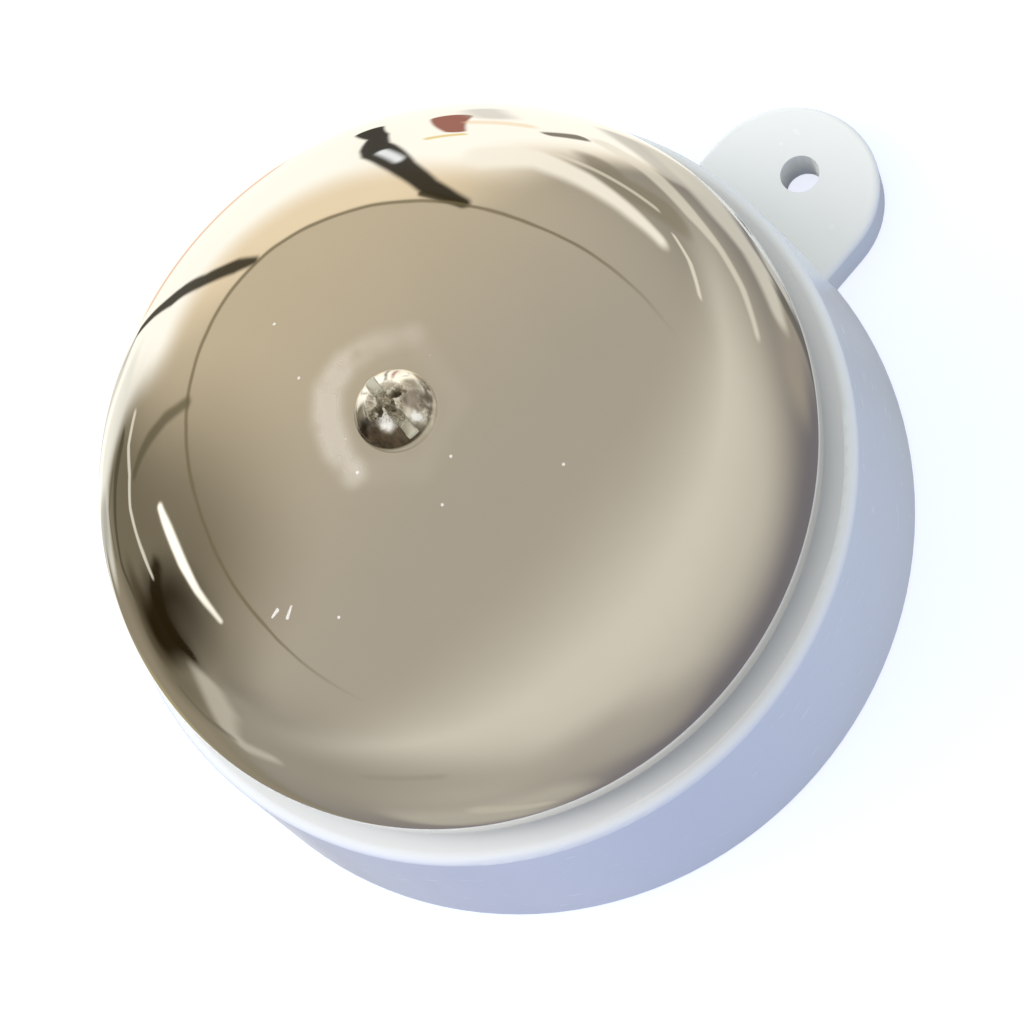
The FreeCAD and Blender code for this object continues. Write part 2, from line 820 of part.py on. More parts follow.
def scattered(name, shape, places, turn=UPRIGHT):
    """Several copies of one shape as one sub-part, each a separate solid."""
    copies = []
    for where in places:
        copy = shape.copy()
        spot = FreeCAD.Vector(*[size_of(each).value for each in where])
        copy.Placement = FreeCAD.Placement(spot, turn)
        copies.append(copy)
    shape_part(name, copies[0] if len(copies) == 1 else Part.makeCompound(copies))


def make_screws():
    """Every plain fastener, grouped by what it holds."""
    sunk = (size.fastener_radius, size.fastener_head_radius, size.fastener_head_height)
    base = screw_shape(sunk[0], size.base_screw_length, sunk[1], sunk[2], countersunk=True)
    scattered("base_screws", base, [(x, y, 0) for x, y in boss_places])
    frame = screw_shape(sunk[0], size.frame_screw_length, sunk[1], sunk[2], countersunk=True)
    scattered("frame_screws", frame, [(x, y, 0) for x, y in frame_screw_places])
    core = screw_shape(size.core_screw_radius, size.yoke_thickness + size.core_screw_depth - size.thread_gap,
                       size.core_screw_head_radius, size.core_screw_head_height)
    coils = [(x, yoke_back_y, magnet_height) for x in (size.coil_left_x, size.coil_right_x)]
    scattered("core_screws", core, coils, ALONG_Y)
    spring = screw_shape(size.spring_screw_radius, size.clamp_thickness + size.leaf_thickness
                         + size.spring_screw_depth, size.spring_screw_head_radius,
                         size.spring_screw_head_height)
    half = size.spring_screw_pitch / 2
    heights = (magnet_height - half, magnet_height + half)
    clamp_face_y = leaf_back_y + size.clamp_thickness
    scattered("spring_screws", spring, [(post_middle_x, clamp_face_y, z) for z in heights], TOWARDS_MINUS_Y)
    bracket = screw_shape(size.fastener_radius, size.bracket_screw_length, size.bracket_screw_head_radius,
                          size.bracket_screw_head_height)
    scattered("bracket_screw", bracket, [(size.contact_x, bracket_screw_y, bracket_foot_top)], UPSIDE_DOWN)


def make_spring_post():
    """Steel post that holds the armature's leaf spring."""
    body = new_body("spring_post")
    sketch = new_sketch(body)
    draw_outline(sketch, rectangle(post_left_x, post_front_y, post_right_x, armature_back_y))
    length_feature(body, "Pad", sketch, magnet_height + size.post_rise - plate_top)
    half = size.spring_screw_pitch / 2

    def draw_spring_holes(sketch):
        for z in (magnet_height - plate_top - half, magnet_height - plate_top + half):
            draw_circle(sketch, post_middle_x, z, size.spring_screw_radius + size.thread_gap)

    def draw_foot_hole(sketch):
        draw_circle(sketch, post_middle_x, post_middle_y, thread_radius)

    cut_along(body, "XZ_Plane", draw_spring_holes, size.spring_screw_depth + size.thread_gap,
              -armature_back_y, reverse=True)
    cut_along(body, "XY_Plane", draw_foot_hole, size.frame_screw_length - plate_top + size.thread_gap,
              reverse=True)
    place(body, z=plate_top)


def make_flat_strip(name, left, right, width, thickness, front_y, hole_x, hole_pitch, hole_radius):
    """A flat upright strip along X with two holes, one above the other."""
    body = new_body(name)
    sketch = new_sketch(body)
    draw_outline(sketch, rectangle(left, 0, right, thickness))
    length_feature(body, "Pad", sketch, width, symmetric=True)
    for x, pitch, radius in zip(hole_x, hole_pitch, hole_radius):
        cut_pair(body, x, pitch, radius, thickness, size_of(0))
    place(body, y=front_y, z=magnet_height)
    return body


def cut_pair(body, x, pitch, radius, depth, front):
    """Two holes along Y, one above the other, through a piece that starts at y = front."""

    def draw_holes(sketch):
        for z in (-pitch / 2, pitch / 2):
            draw_circle(sketch, x, z, radius)

    cut_along(body, "XZ_Plane", draw_holes, depth + 2 * size.overrun, -front + size.overrun)


def make_armature_group():
    """Armature bar, its leaf spring and clamp, and the contact strip with its button."""
    rivet_hole = size.rivet_radius + size.seat_gap
    screw_hole = size.spring_screw_radius + 3 * size.seat_gap
    half_width = size.armature_width / 2
    body = new_body("armature")
    sketch = new_sketch(body)
    draw_outline(sketch, rectangle(armature_left_x, 0, armature_right_x, size.armature_thickness))
    length_feature(body, "Pad", sketch, 2 * half_width, symmetric=True)
    for x in (leaf_rivet_x, strip_rivet_x):
        cut_pair(body, x, size.rivet_pitch, rivet_hole, size.armature_thickness, size_of(0))

    def draw_rod_hole(sketch):
        draw_circle(sketch, size.armature_thickness / 2, 0, size.rod_radius + size.seat_gap)

    cut_along(body, "YZ_Plane", draw_rod_hole, size.rod_seat_depth + size.overrun,
              armature_right_x + size.overrun)
    place(body, y=armature_front_y, z=magnet_height)

    make_flat_strip("armature_spring", post_left_x, leaf_end_x, size.leaf_width,
                    size.leaf_thickness, armature_back_y, (post_middle_x, leaf_rivet_x),
                    (size.spring_screw_pitch, size.rivet_pitch), (screw_hole, rivet_hole))
    make_flat_strip("spring_clamp", post_left_x, post_right_x, size.leaf_width,
                    size.clamp_thickness, leaf_back_y, (post_middle_x,), (size.spring_screw_pitch,),
                    (screw_hole,))

    strip = new_body("contact_spring")
    sketch = new_sketch(strip)
    thick = size.strip_thickness
    bend_x = strip_rivet_x + size.strip_rivet_land
    landing_x = size.contact_x - size.strip_landing
    end_x = size.contact_x + size.strip_overhang
    draw_outline(sketch, [
        (strip_start_x, 0),
        (bend_x, 0),
        (landing_x, size.strip_rise),
        (end_x, size.strip_rise),
        (end_x, size.strip_rise + thick),
        (landing_x, size.strip_rise + thick),
        (bend_x, thick),
        (strip_start_x, thick),
    ])
    length_feature(strip, "Pad", sketch, size.strip_width, symmetric=True)
    cut_pair(strip, strip_rivet_x, size.rivet_pitch, rivet_hole, thick, size_of(0))
    place(strip, y=armature_back_y, z=magnet_height)

    turned("contact_button", [
        (0, 0), (size.button_radius, 0), (size.button_radius, size.button_height), (0, size.button_height),
    ], x=size.contact_x, y=strip_seat_y, z=magnet_height, turn=ALONG_Y)


def make_rivets():
    """Rivets with a flat head behind and a flush end in front of the armature."""
    rivets = []
    for x, sheet_thickness in ((leaf_rivet_x, size.leaf_thickness),
                               (strip_rivet_x, size.strip_thickness)):
        length = (size.armature_thickness + sheet_thickness).value
        for side in (-1, 1):
            z = magnet_height + side * size.rivet_pitch / 2
            shank = Part.makeCylinder(size.rivet_radius.value, length)
            head = Part.makeCylinder(size.rivet_head_radius.value, size.rivet_head_height.value,
                                     FreeCAD.Vector(0, 0, length))
            rivet = shank.fuse(head).removeSplitter()
            spot = FreeCAD.Vector(x.value, armature_front_y.value, z.value)
            rivet.Placement = FreeCAD.Placement(spot, ALONG_Y)
            rivets.append(rivet)
    shape_part("armature_rivets", Part.makeCompound(rivets))


def bent_wire(name, points, radius, bend):
    """A round wire along straight runs joined by tangent arcs of one bend radius."""
    spots = [FreeCAD.Vector(*[size_of(each).value for each in point]) for point in points]
    radius = size_of(radius).value
    bend = size_of(bend).value
    edges = []
    start = spots[0]
    for before, here, after in zip(spots, spots[1:], spots[2:]):
        arriving = (here - before).normalize()
        leaving = (after - here).normalize()
        turn = arriving.getAngle(leaving)
        setback = bend * math.tan(turn / 2)
        first = here - arriving * setback
        last = here + leaving * setback
        inward = (leaving - arriving).normalize()
        middle = here + inward * (bend / math.cos(turn / 2) - bend)
        edges.append(Part.LineSegment(start, first).toShape())
        edges.append(Part.Arc(first, middle, last).toShape())
        start = last
    edges.append(Part.LineSegment(start, spots[-1]).toShape())
    path = Part.Wire(edges)
    ring = Part.Wire(Part.makeCircle(radius, spots[0], (spots[1] - spots[0]).normalize()))
    tube = path.makePipeShell([ring], True, False)
    whole = math.pi * radius * radius * path.Length
    if abs(tube.Volume - whole) > whole / 100:
        raise ValueError("the tube of " + name + " has the wrong volume")
    shape_part(name, tube)


def make_hammer():
    """Cranked wire from the armature's end to a brass ball near the gong's inner wall."""
    height = hammer_height
    turn_x = armature_right_x + size.rod_stand
    reach_x = turn_x - hammer_x
    reach_y = armature_middle_y - hammer_y
    reach = root(reach_x * reach_x + reach_y * reach_y)
    stand_off = (size.hammer_radius - size.rod_in_hammer + size.seat_gap) / reach
    end = (hammer_x + reach_x * stand_off, hammer_y + reach_y * stand_off, height)
    bent_wire("hammer_rod", [
        (armature_right_x - size.rod_seat_depth + size.seat_gap, armature_middle_y, magnet_height),
        (turn_x, armature_middle_y, magnet_height),
        (turn_x, armature_middle_y, height),
        end,
    ], size.rod_radius, size.rod_bend_radius)
    ball = size.hammer_radius
    bore = size.rod_radius + size.seat_gap
    mouth = root(ball * ball - bore * bore)
    bottom = ball - size.rod_in_hammer
    direction = FreeCAD.Vector(reach_x.value, reach_y.value, 0)
    turned("hammer_head", [
        (0, -ball),
        (ball, 0, ball),
        (bore, mouth, ball),
        (bore, bottom),
        (0, bottom),
    ], x=hammer_x, y=hammer_y, z=height, turn=FreeCAD.Rotation(FreeCAD.Vector(0, 0, 1), direction))


def make_contact():
    """Insulating block, brass bracket, adjusting screw and lock nut of the fixed contact."""
    screw_hole = size.contact_screw_radius + size.thread_gap
    half_block = block_width / 2
    block = new_body("contact_block")
    sketch = new_sketch(block)
    draw_outline(sketch, rectangle(-half_block, 0, half_block, block_length))
    length_feature(block, "Pad", sketch, size.block_height)

    def draw_block_top_hole(sketch):
        draw_circle(sketch, 0, bracket_screw_y - block_front_y, thread_radius)

    def draw_block_foot_hole(sketch):
        draw_circle(sketch, 0, block_screw_y - block_front_y, thread_radius)

    top_depth = size.bracket_screw_length - size.bracket_thickness + size.thread_gap
    cut_along(block, "XY_Plane", draw_block_top_hole, top_depth, size.block_height)
    cut_along(block, "XY_Plane", draw_block_foot_hole,
              size.frame_screw_length - plate_top + size.thread_gap, reverse=True)
    place(block, x=size.contact_x, y=block_front_y, z=plate_top)

    bracket = new_body("contact_bracket")
    sketch = new_sketch(bracket, "YZ_Plane")
    thick = size.bracket_thickness
    top = magnet_height + size.bracket_rise - block_top
    draw_outline(sketch, [
        (0, 0),
        (size.bracket_length, 0),
        (size.bracket_length, thick),
        (thick, thick),
        (thick, top),
        (0, top),
    ])
    length_feature(bracket, "Pad", sketch, size.bracket_width, symmetric=True)

    def draw_contact_hole(sketch):
        draw_circle(sketch, 0, magnet_height - block_top, screw_hole)

    def draw_bracket_hole(sketch):
        draw_circle(sketch, 0, size.bracket_length - size.bracket_screw_back, thread_radius)

    cut_along(bracket, "XZ_Plane", draw_contact_hole, thick + 2 * size.overrun, size.overrun)
    cut_along(bracket, "XY_Plane", draw_bracket_hole, thick + 2 * size.overrun, thick + size.overrun)
    place(bracket, x=size.contact_x, y=size.bracket_face_y, z=block_top)

    shank_end = size.contact_screw_length - size.contact_head_length
    turned("contact_screw", [
        (0, 0),
        (size.contact_screw_tip_radius, 0),
        (size.contact_screw_tip_radius, size.contact_screw_tip_length),
        (size.contact_screw_radius, size.contact_screw_tip_length),
        (size.contact_screw_radius, shank_end),
        (size.contact_head_radius, shank_end),
        (size.contact_head_radius, size.contact_screw_length),
        (0, size.contact_screw_length),
    ], x=size.contact_x, y=contact_tip_y, z=magnet_height, turn=ALONG_Y)

    def draw_nut(sketch):
        draw_outline(sketch, [polar(size.contact_nut_radius, 60 * number) for number in range(6)])
        draw_circle(sketch, 0, 0, screw_hole)

    sheared("contact_nut", "XY_Plane", draw_nut, size.contact_nut_thickness,
            x=size.contact_x, y=bracket_back_y, z=magnet_height, turn=ALONG_Y)


def make_terminals():
    """Moulded block with two brass clamp sleeves and their screws."""
    block = new_body("terminal_block")
    sketch = new_sketch(block)
    half_length = size.terminal_block_length / 2
    half_depth = size.terminal_block_depth / 2
    draw_outline(sketch, rectangle(-half_length, -half_depth, half_length, half_depth))
    length_feature(block, "Pad", sketch, size.terminal_block_height)

    def draw_bores(sketch):
        for x in (-terminal_half_pitch, terminal_half_pitch):
            draw_circle(sketch, x, size.terminal_bore_height, size.sleeve_radius + size.seat_gap)

    def draw_access(sketch):
        for x in (-terminal_half_pitch, terminal_half_pitch):
            for y in (-size.terminal_screw_pitch / 2, size.terminal_screw_pitch / 2):
                draw_circle(sketch, x, y, size.terminal_access_radius)

    def draw_foot_hole(sketch):
        draw_circle(sketch, 0, 0, thread_radius)

    cut_along(block, "XZ_Plane", draw_bores, size.terminal_block_depth + 2 * size.overrun, symmetric=True)
    cut_along(block, "XY_Plane", draw_access, size.terminal_block_height - size.terminal_bore_height,
              size.terminal_block_height)
    cut_along(block, "XY_Plane", draw_foot_hole, size.frame_screw_length - plate_top + size.thread_gap,
              reverse=True)
    place(block, y=size.terminal_y, z=plate_top)

    length = size.sleeve_length.value
    sleeve = Part.makeCylinder(size.sleeve_radius.value, length)
    sleeve = sleeve.cut(Part.makeCylinder(size.sleeve_bore_radius.value, length))
    tap = size.terminal_screw_radius.value + size.thread_gap.value
    tap_length = 2 * size.sleeve_radius.value
    for along in (-size.terminal_screw_pitch.value / 2, size.terminal_screw_pitch.value / 2):
        spot = FreeCAD.Vector(0, 0, length / 2 + along)
        sleeve = sleeve.cut(Part.makeCylinder(tap, tap_length, spot, FreeCAD.Vector(0, -1, 0)))
    front = size.terminal_y - size.sleeve_length / 2
    scattered("terminal_sleeves", sleeve,
              [(x, front, terminal_bore_z) for x in (-terminal_half_pitch, terminal_half_pitch)], ALONG_Y)

    grub = Part.makeCylinder(size.terminal_screw_radius.value, size.terminal_screw_length.value)
    reach = size.terminal_screw_radius.value + size.overrun.value
    corner = FreeCAD.Vector(-reach, -size.slot_width.value / 2,
                            (size.terminal_screw_length - size.slot_depth).value)
    grub = grub.cut(Part.makeBox(2 * reach, size.slot_width.value, size.overrun.value
                                 + size.slot_depth.value, corner))
    foot = terminal_bore_z + size.wire_radius + size.seat_gap
    places = []
    for x in (-terminal_half_pitch, terminal_half_pitch):
        for y in (-size.terminal_screw_pitch / 2, size.terminal_screw_pitch / 2):
            places.append((x, size.terminal_y + y, foot))
    scattered("terminal_screws", grub, places)


def make_cable_bush():
    """Flanged bush that lines the plate's cable entry."""
    body = size.entry_radius - size.seat_gap
    top = plate_top + size.bush_flange_thickness
    turned("cable_bush", [
        (size.bush_bore_radius, 0),
        (body, 0),
        (body, plate_top),
        (size.bush_flange_radius, plate_top),
        (size.bush_flange_radius, top),
        (size.bush_bore_radius, top),
    ], x=entry_x, y=entry_y)


def make_wires():
    """Insulated wires: coil to coil, coil to terminal, coil to spring post, contact to terminal."""
    winding_reach = size.winding_radius + size.seat_gap
    winding_top = magnet_height + winding_reach
    high = winding_top + size.link_rise
    low = plate_top + size.lead_floor_height
    link_y = yoke_face_y + size.link_inset
    lead_y = size.pole_face_y - size.lead_inset
    side_x = boss_places[0][0] - size.boss_radius - size.lead_boss_gap
    cross_y = size.terminal_y - size.terminal_block_depth / 2 - size.lead_cross_gap
    wire = (size.wire_radius, size.wire_bend_radius)
    in_sleeve_y = size.terminal_y - size.terminal_screw_pitch / 2 + size.terminal_screw_radius
    bent_wire("coil_link", [
        (size.coil_left_x, link_y, winding_top),
        (size.coil_left_x, link_y, high),
        (size.coil_right_x, link_y, high),
        (size.coil_right_x, link_y, winding_top),
    ], *wire)
    bent_wire("coil_lead", [
        (size.coil_right_x + winding_reach, lead_y, magnet_height),
        (side_x, lead_y, magnet_height),
        (side_x, lead_y, low),
        (side_x, cross_y, low),
        (-terminal_half_pitch, cross_y, low),
        (-terminal_half_pitch, cross_y, terminal_bore_z),
        (-terminal_half_pitch, in_sleeve_y, terminal_bore_z),
    ], *wire)
    bent_wire("frame_lead", [
        (size.coil_left_x - winding_reach, lead_y, magnet_height),
        (post_middle_x, lead_y, magnet_height),
        (post_middle_x, post_front_y - size.seat_gap, magnet_height),
    ], *wire)
    foot_middle = block_top + size.bracket_thickness / 2
    foot_x = size.contact_x - size.contact_lead_offset
    bent_wire("contact_lead", [
        (foot_x, bracket_end_y + size.seat_gap, foot_middle),
        (foot_x, bracket_end_y + size.contact_lead_step, foot_middle),
        (terminal_half_pitch, bracket_end_y + size.contact_lead_turn, terminal_bore_z),
        (terminal_half_pitch, in_sleeve_y, terminal_bore_z),
    ], *wire)


def check_and_write():
    """Stop on any failed object or bad solid, then write one file for each sub-part."""
    doc.recompute()
    for each in doc.Objects:
        if "Invalid" in each.State or "Error" in each.State:
            raise ValueError("failed: " + each.Label)
    for part in sub_parts:
        if part.Shape.isNull() or not part.Shape.isValid() or not part.Shape.Solids:
            raise ValueError("bad shape: " + part.Label)
    os.makedirs("parts", exist_ok=True)
    for part in sub_parts:
        part.Shape.exportStep("parts/" + part.Label + ".step")
        print(part.Label, len(part.Shape.Solids), round(part.Shape.Volume, 3))


make_base_housing()
make_base_plate()
make_cable_bush()
make_pillar()
make_gong_washer()
make_gong()
make_gong_screw()
make_yoke()
make_coil("left", size.coil_left_x)
make_coil("right", size.coil_right_x)
make_spring_post()
make_armature_group()
make_rivets()
make_hammer()
make_contact()
make_terminals()
make_screws()
make_wires()
check_and_write()
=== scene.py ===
import math

import bpy
import numpy as np
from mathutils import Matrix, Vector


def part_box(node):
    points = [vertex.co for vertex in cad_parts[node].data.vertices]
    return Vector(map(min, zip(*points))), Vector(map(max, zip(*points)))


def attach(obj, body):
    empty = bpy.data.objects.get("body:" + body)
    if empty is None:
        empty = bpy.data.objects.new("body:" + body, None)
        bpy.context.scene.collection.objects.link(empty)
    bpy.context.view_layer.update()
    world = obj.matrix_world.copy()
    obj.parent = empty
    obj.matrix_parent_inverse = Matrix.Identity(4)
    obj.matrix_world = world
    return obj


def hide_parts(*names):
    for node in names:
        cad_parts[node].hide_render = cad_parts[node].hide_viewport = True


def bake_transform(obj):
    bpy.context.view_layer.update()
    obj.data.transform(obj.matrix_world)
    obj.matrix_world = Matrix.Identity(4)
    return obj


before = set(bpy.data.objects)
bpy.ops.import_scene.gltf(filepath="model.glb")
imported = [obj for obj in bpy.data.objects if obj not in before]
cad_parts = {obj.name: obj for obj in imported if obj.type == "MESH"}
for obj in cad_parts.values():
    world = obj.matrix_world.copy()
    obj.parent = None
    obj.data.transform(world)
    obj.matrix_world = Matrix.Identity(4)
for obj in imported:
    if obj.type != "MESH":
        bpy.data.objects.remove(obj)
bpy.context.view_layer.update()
BELL = "bell"

# Places and sizes of the bell, in millimetres, as the source has them.
GONG_RADIUS = 37.5
GONG_FALL = 15.6
GONG_TOP = 42.8
GONG_RIM = 24.6
GONG_WALL = 1.2
GONG_HOLE = 2.2
GONG_SEAT_RADIUS = 4.5
GONG_SEAT = 42.706
SHOULDER_STARTS = 8.0
SHOULDER_FULL = 24.0
SCREW_REACH = 4.05
SCREW_EDGE = 0.9
SCREW_RISE = 1.8
SCREW_SHANK = 1.95
SCREW_END = 30.71
SCREW_TURN = -9.0
SCREW_SLOT_FLOOR = 43.986
SCREW_TOP_CUT = 0.055
COIL_HEIGHT = 11.6
COIL_ENDS = (-28.15, -11.65)
COIL_BARREL = 3.9
COIL_RADIUS = 6.8
COIL_WIRE = 0.4

# How finely the new pieces are cut up.
GONG_ROWS = 190
GONG_AROUND = 300
SCREW_RINGS = 118
SCREW_AROUND = 420
COIL_AROUND = 72
COIL_STEPS_PER_TURN = 8
STRIP_STEPS = 90

# The screw's slot, cross and torn middle: the distances where each is gone and where it is full,
# in millimetres.
SLOT_SIDES = (0.58, 0.48)
CROSS_SIDES = (0.50, 0.28)
CROSS_ENDS = (2.2, 1.8)
RECESS_SIDES = (1.9, 1.3)

# Marks of use on the gong, as places in millimetres. A line's third numbers are half widths.
SMEAR = [
    (-3.9, 6.6, 0.1), (-6.5, 3.6, 0.3), (-7.4, 0.3, 0.6), (-7.1, -2.5, 0.7),
    (-5.0, -4.8, 0.7), (-2.1, -6.3, 0.6), (0.8, -7.0, 0.3),
]
FAINT_SMEAR = [(0.8, -7.0, 0.5), (5.9, -2.4, 0.4), (4.1, 4.5, 0.2), (-3.9, 6.6, 0.2)]
DUST_SPOTS = [
    (-16.8, -1.2), (-10.4, -3.6), (7.3, 0.1), (1.1, -6.7),
    (-3.8, 1.0), (8.5, -18.0), (9.7, -3.8), (15.9, 6.2),
]
SCRATCHES = [
    [(3.04, -22.29, 0.05), (3.05, -21.45, 0.12)],
    [(4.35, -21.36, 0.1), (3.98, -20.26, 0.03)],
]

# The screw's head: the two ways its painted brown shade runs, a painted dull reflection, and
# painted glints, each with the distances where it ends and where it is full.
SHADE_ACROSS = (0.735, 0.678)
SHADE_DOWN = (0.618, -0.786)
# Middle of the painted dull reflection on the head.
REFLECTION_PATCH = (1.75, 1.95, 0.0)
# Places and sizes of the painted glints on the head.
GLINT_SPOTS = [((1.3, -1.35, 0.0), 1.15, 0.3), ((2.9, 0.8, 0.0), 0.7, 0.2)]

# The housing: its worn front corner, and the painted highlight line along its lip, which fades in
# over a span of X.
CHIPPED_CORNER = (21.0, -38.0, 8.0)
HIGHLIGHT_RADIUS = 38.95
HIGHLIGHT_SPAN = (34.5, 37.0)

# The room: the direction of the window that lights matt surfaces, and the ceiling that metal
# mirrors, as an ellipse on the chart of directions.
WINDOW = (-0.50, -0.57, 0.65)
WINDOW_FOCUS = 16.0
CEILING_MIDDLE = -0.114
CEILING_REACH = (0.551, 0.367)


class Wire:
    """One output of a node. An expression on wires adds the Math nodes that work it out."""

    def __init__(self, nodes, socket):
        self.nodes = nodes
        self.socket = socket

    def __add__(self, other):
        return self.nodes.maths("ADD", self, other)

    def __sub__(self, other):
        return self.nodes.maths("SUBTRACT", self, other)

    def __mul__(self, other):
        return self.nodes.maths("MULTIPLY", self, other)

    def __truediv__(self, other):
        return self.nodes.maths("DIVIDE", self, other)

    def __pow__(self, other):
        return self.nodes.maths("POWER", self, other)

    def __rsub__(self, other):
        return self.nodes.maths("SUBTRACT", other, self)


class Nodes:
    """The node tree of one finish, or of the room."""

    def __init__(self, tree):
        self.tree = tree
        tree.nodes.clear()

    def node(self, kind, settings=None, sockets=None, output=0):
        """Adds one node: its settings first, then the values or links of its sockets."""
        made = self.tree.nodes.new(kind)
        for name, value in (settings or {}).items():
            setattr(made, name, value)
        for name, value in (sockets or {}).items():
            if isinstance(value, Wire):
                self.tree.links.new(value.socket, made.inputs[name])
            elif isinstance(value, tuple) and made.inputs[name].type == "RGBA":
                made.inputs[name].default_value = (*value, 1)
            else:
                made.inputs[name].default_value = value
        return Wire(self, made.outputs[output]) if made.outputs else None

    def maths(self, operation, *values):
        return self.node("ShaderNodeMath", {"operation": operation}, dict(enumerate(values)))

    def length(self, x, y):
        return self.maths("SQRT", x * x + y * y)

    def rise(self, value, low, high):
        """0 below low, 1 above high, a smooth step between them; it falls if low is above high."""
        return self.node(
            "ShaderNodeMapRange",
            {"interpolation_type": "SMOOTHSTEP"},
            {"Value": value, "From Min": low, "From Max": high, "To Min": 0.0, "To Max": 1.0},
        )

    def blended(self, share, first, second):
        """The first colour where share is 0 and the second where it is 1."""
        return self.node("ShaderNodeMix", {"data_type": "RGBA"}, {0: share, 6: first, 7: second}, 2)

    def parts(self, vector):
        split = self.tree.nodes.new("ShaderNodeSeparateXYZ")
        self.tree.links.new(vector.socket, split.inputs[0])
        return [Wire(self, output) for output in split.outputs]

    def joined(self, x, y, z):
        return self.node("ShaderNodeCombineXYZ", {}, {0: x, 1: y, 2: z})

    def millimetres(self):
        """The place on the piece in millimetres, in the bell's own axes."""
        place = self.node("ShaderNodeTexCoord", output="Object")
        return self.node("ShaderNodeVectorMath", {"operation": "SCALE"}, {0: place, 3: 1000.0})

    def noise(self, place, scale, detail=3.0, roughness=0.5, distortion=0.0):
        return self.node(
            "ShaderNodeTexNoise",
            {},
            {
                "Vector": place,
                "Scale": scale,
                "Detail": detail,
                "Roughness": roughness,
                "Distortion": distortion,
            },
        )

    def stretched(self, place, x, y, z):
        """The place with its grain pulled out: a small factor makes long streaks on that axis."""
        return self.node("ShaderNodeMapping", {}, {"Vector": place, "Scale": (x, y, z)})

    def specks(self, place, pitch, size, share):
        """Small round spots about pitch apart, of which the given share shows."""
        spots = {"Vector": place, "Scale": 1 / pitch}
        distance = self.node("ShaderNodeTexVoronoi", {}, spots, "Distance")
        lot = self.parts(self.node("ShaderNodeTexVoronoi", {}, spots, "Color"))[0]
        shown = self.maths("LESS_THAN", lot, share)
        return self.rise(distance, size / pitch, size / pitch * 0.4) * shown

    def vector(self, operation, first, second, output=0):
        """Vector Math on two vectors, or on a vector and the number that scales it."""
        other = 3 if operation == "SCALE" else 1
        return self.node(
            "ShaderNodeVectorMath", {"operation": operation}, {0: first, other: second}, output
        )

    def beside(self, place, start, end):
        """How far a place on a flat chart lies outside a straight band from start to end, whose
        half width is the third number of each."""
        run = (end[0] - start[0], end[1] - start[1], 0.0)
        span = run[0] ** 2 + run[1] ** 2
        off = self.vector("SUBTRACT", place, (start[0], start[1], 0.0))
        share = self.vector("DOT_PRODUCT", off, (run[0] / span, run[1] / span, 0.0), "Value")
        share = self.node("ShaderNodeClamp", {}, {0: share})
        distance = self.vector("DISTANCE", off, self.vector("SCALE", run, share), "Value")
        return self.maths("MULTIPLY_ADD", share, start[2] - end[2], distance) - start[2]

    def mark(self, place, points, soft):
        """1 on a band through the points and 0 off it, with soft edges."""
        nearest = None
        for start, end in zip(points, points[1:]):
            distance = self.beside(place, start, end)
            nearest = distance if nearest is None else self.maths("MINIMUM", nearest, distance)
        return self.rise(nearest, soft, 0.0)

    def ray(self, kind):
        """1 for rays of this kind and 0 for others."""
        return self.node("ShaderNodeLightPath", output=kind)

    def glow(self, colour):
        return self.node("ShaderNodeBackground", {}, {"Color": colour, "Strength": 1.0})

    def either(self, share, first, second):
        """The first shader where share is 0 and the second where it is 1."""
        return self.node("ShaderNodeMixShader", {}, {0: share, 1: first, 2: second})

    def surface(self, shader):
        self.node("ShaderNodeOutputMaterial", {}, {"Surface": shader})

    def bumped(self, height, depth):
        """A surface that rises by depth millimetres where height is 1."""
        return self.node(
            "ShaderNodeBump", {}, {"Strength": 1.0, "Distance": depth / 1000, "Height": height}
        )


def finish(name):
    """A new material and its node tree."""
    material = bpy.data.materials.new(name)
    material.use_nodes = True
    return material, Nodes(material.node_tree)


def coat(nodes, **sockets):
    """The shader of a finish. Socket names are in plain words, with _ for a space."""
    named = {key.replace("_", " "): value for key, value in sockets.items()}
    nodes.surface(nodes.node("ShaderNodeBsdfPrincipled", {}, named))


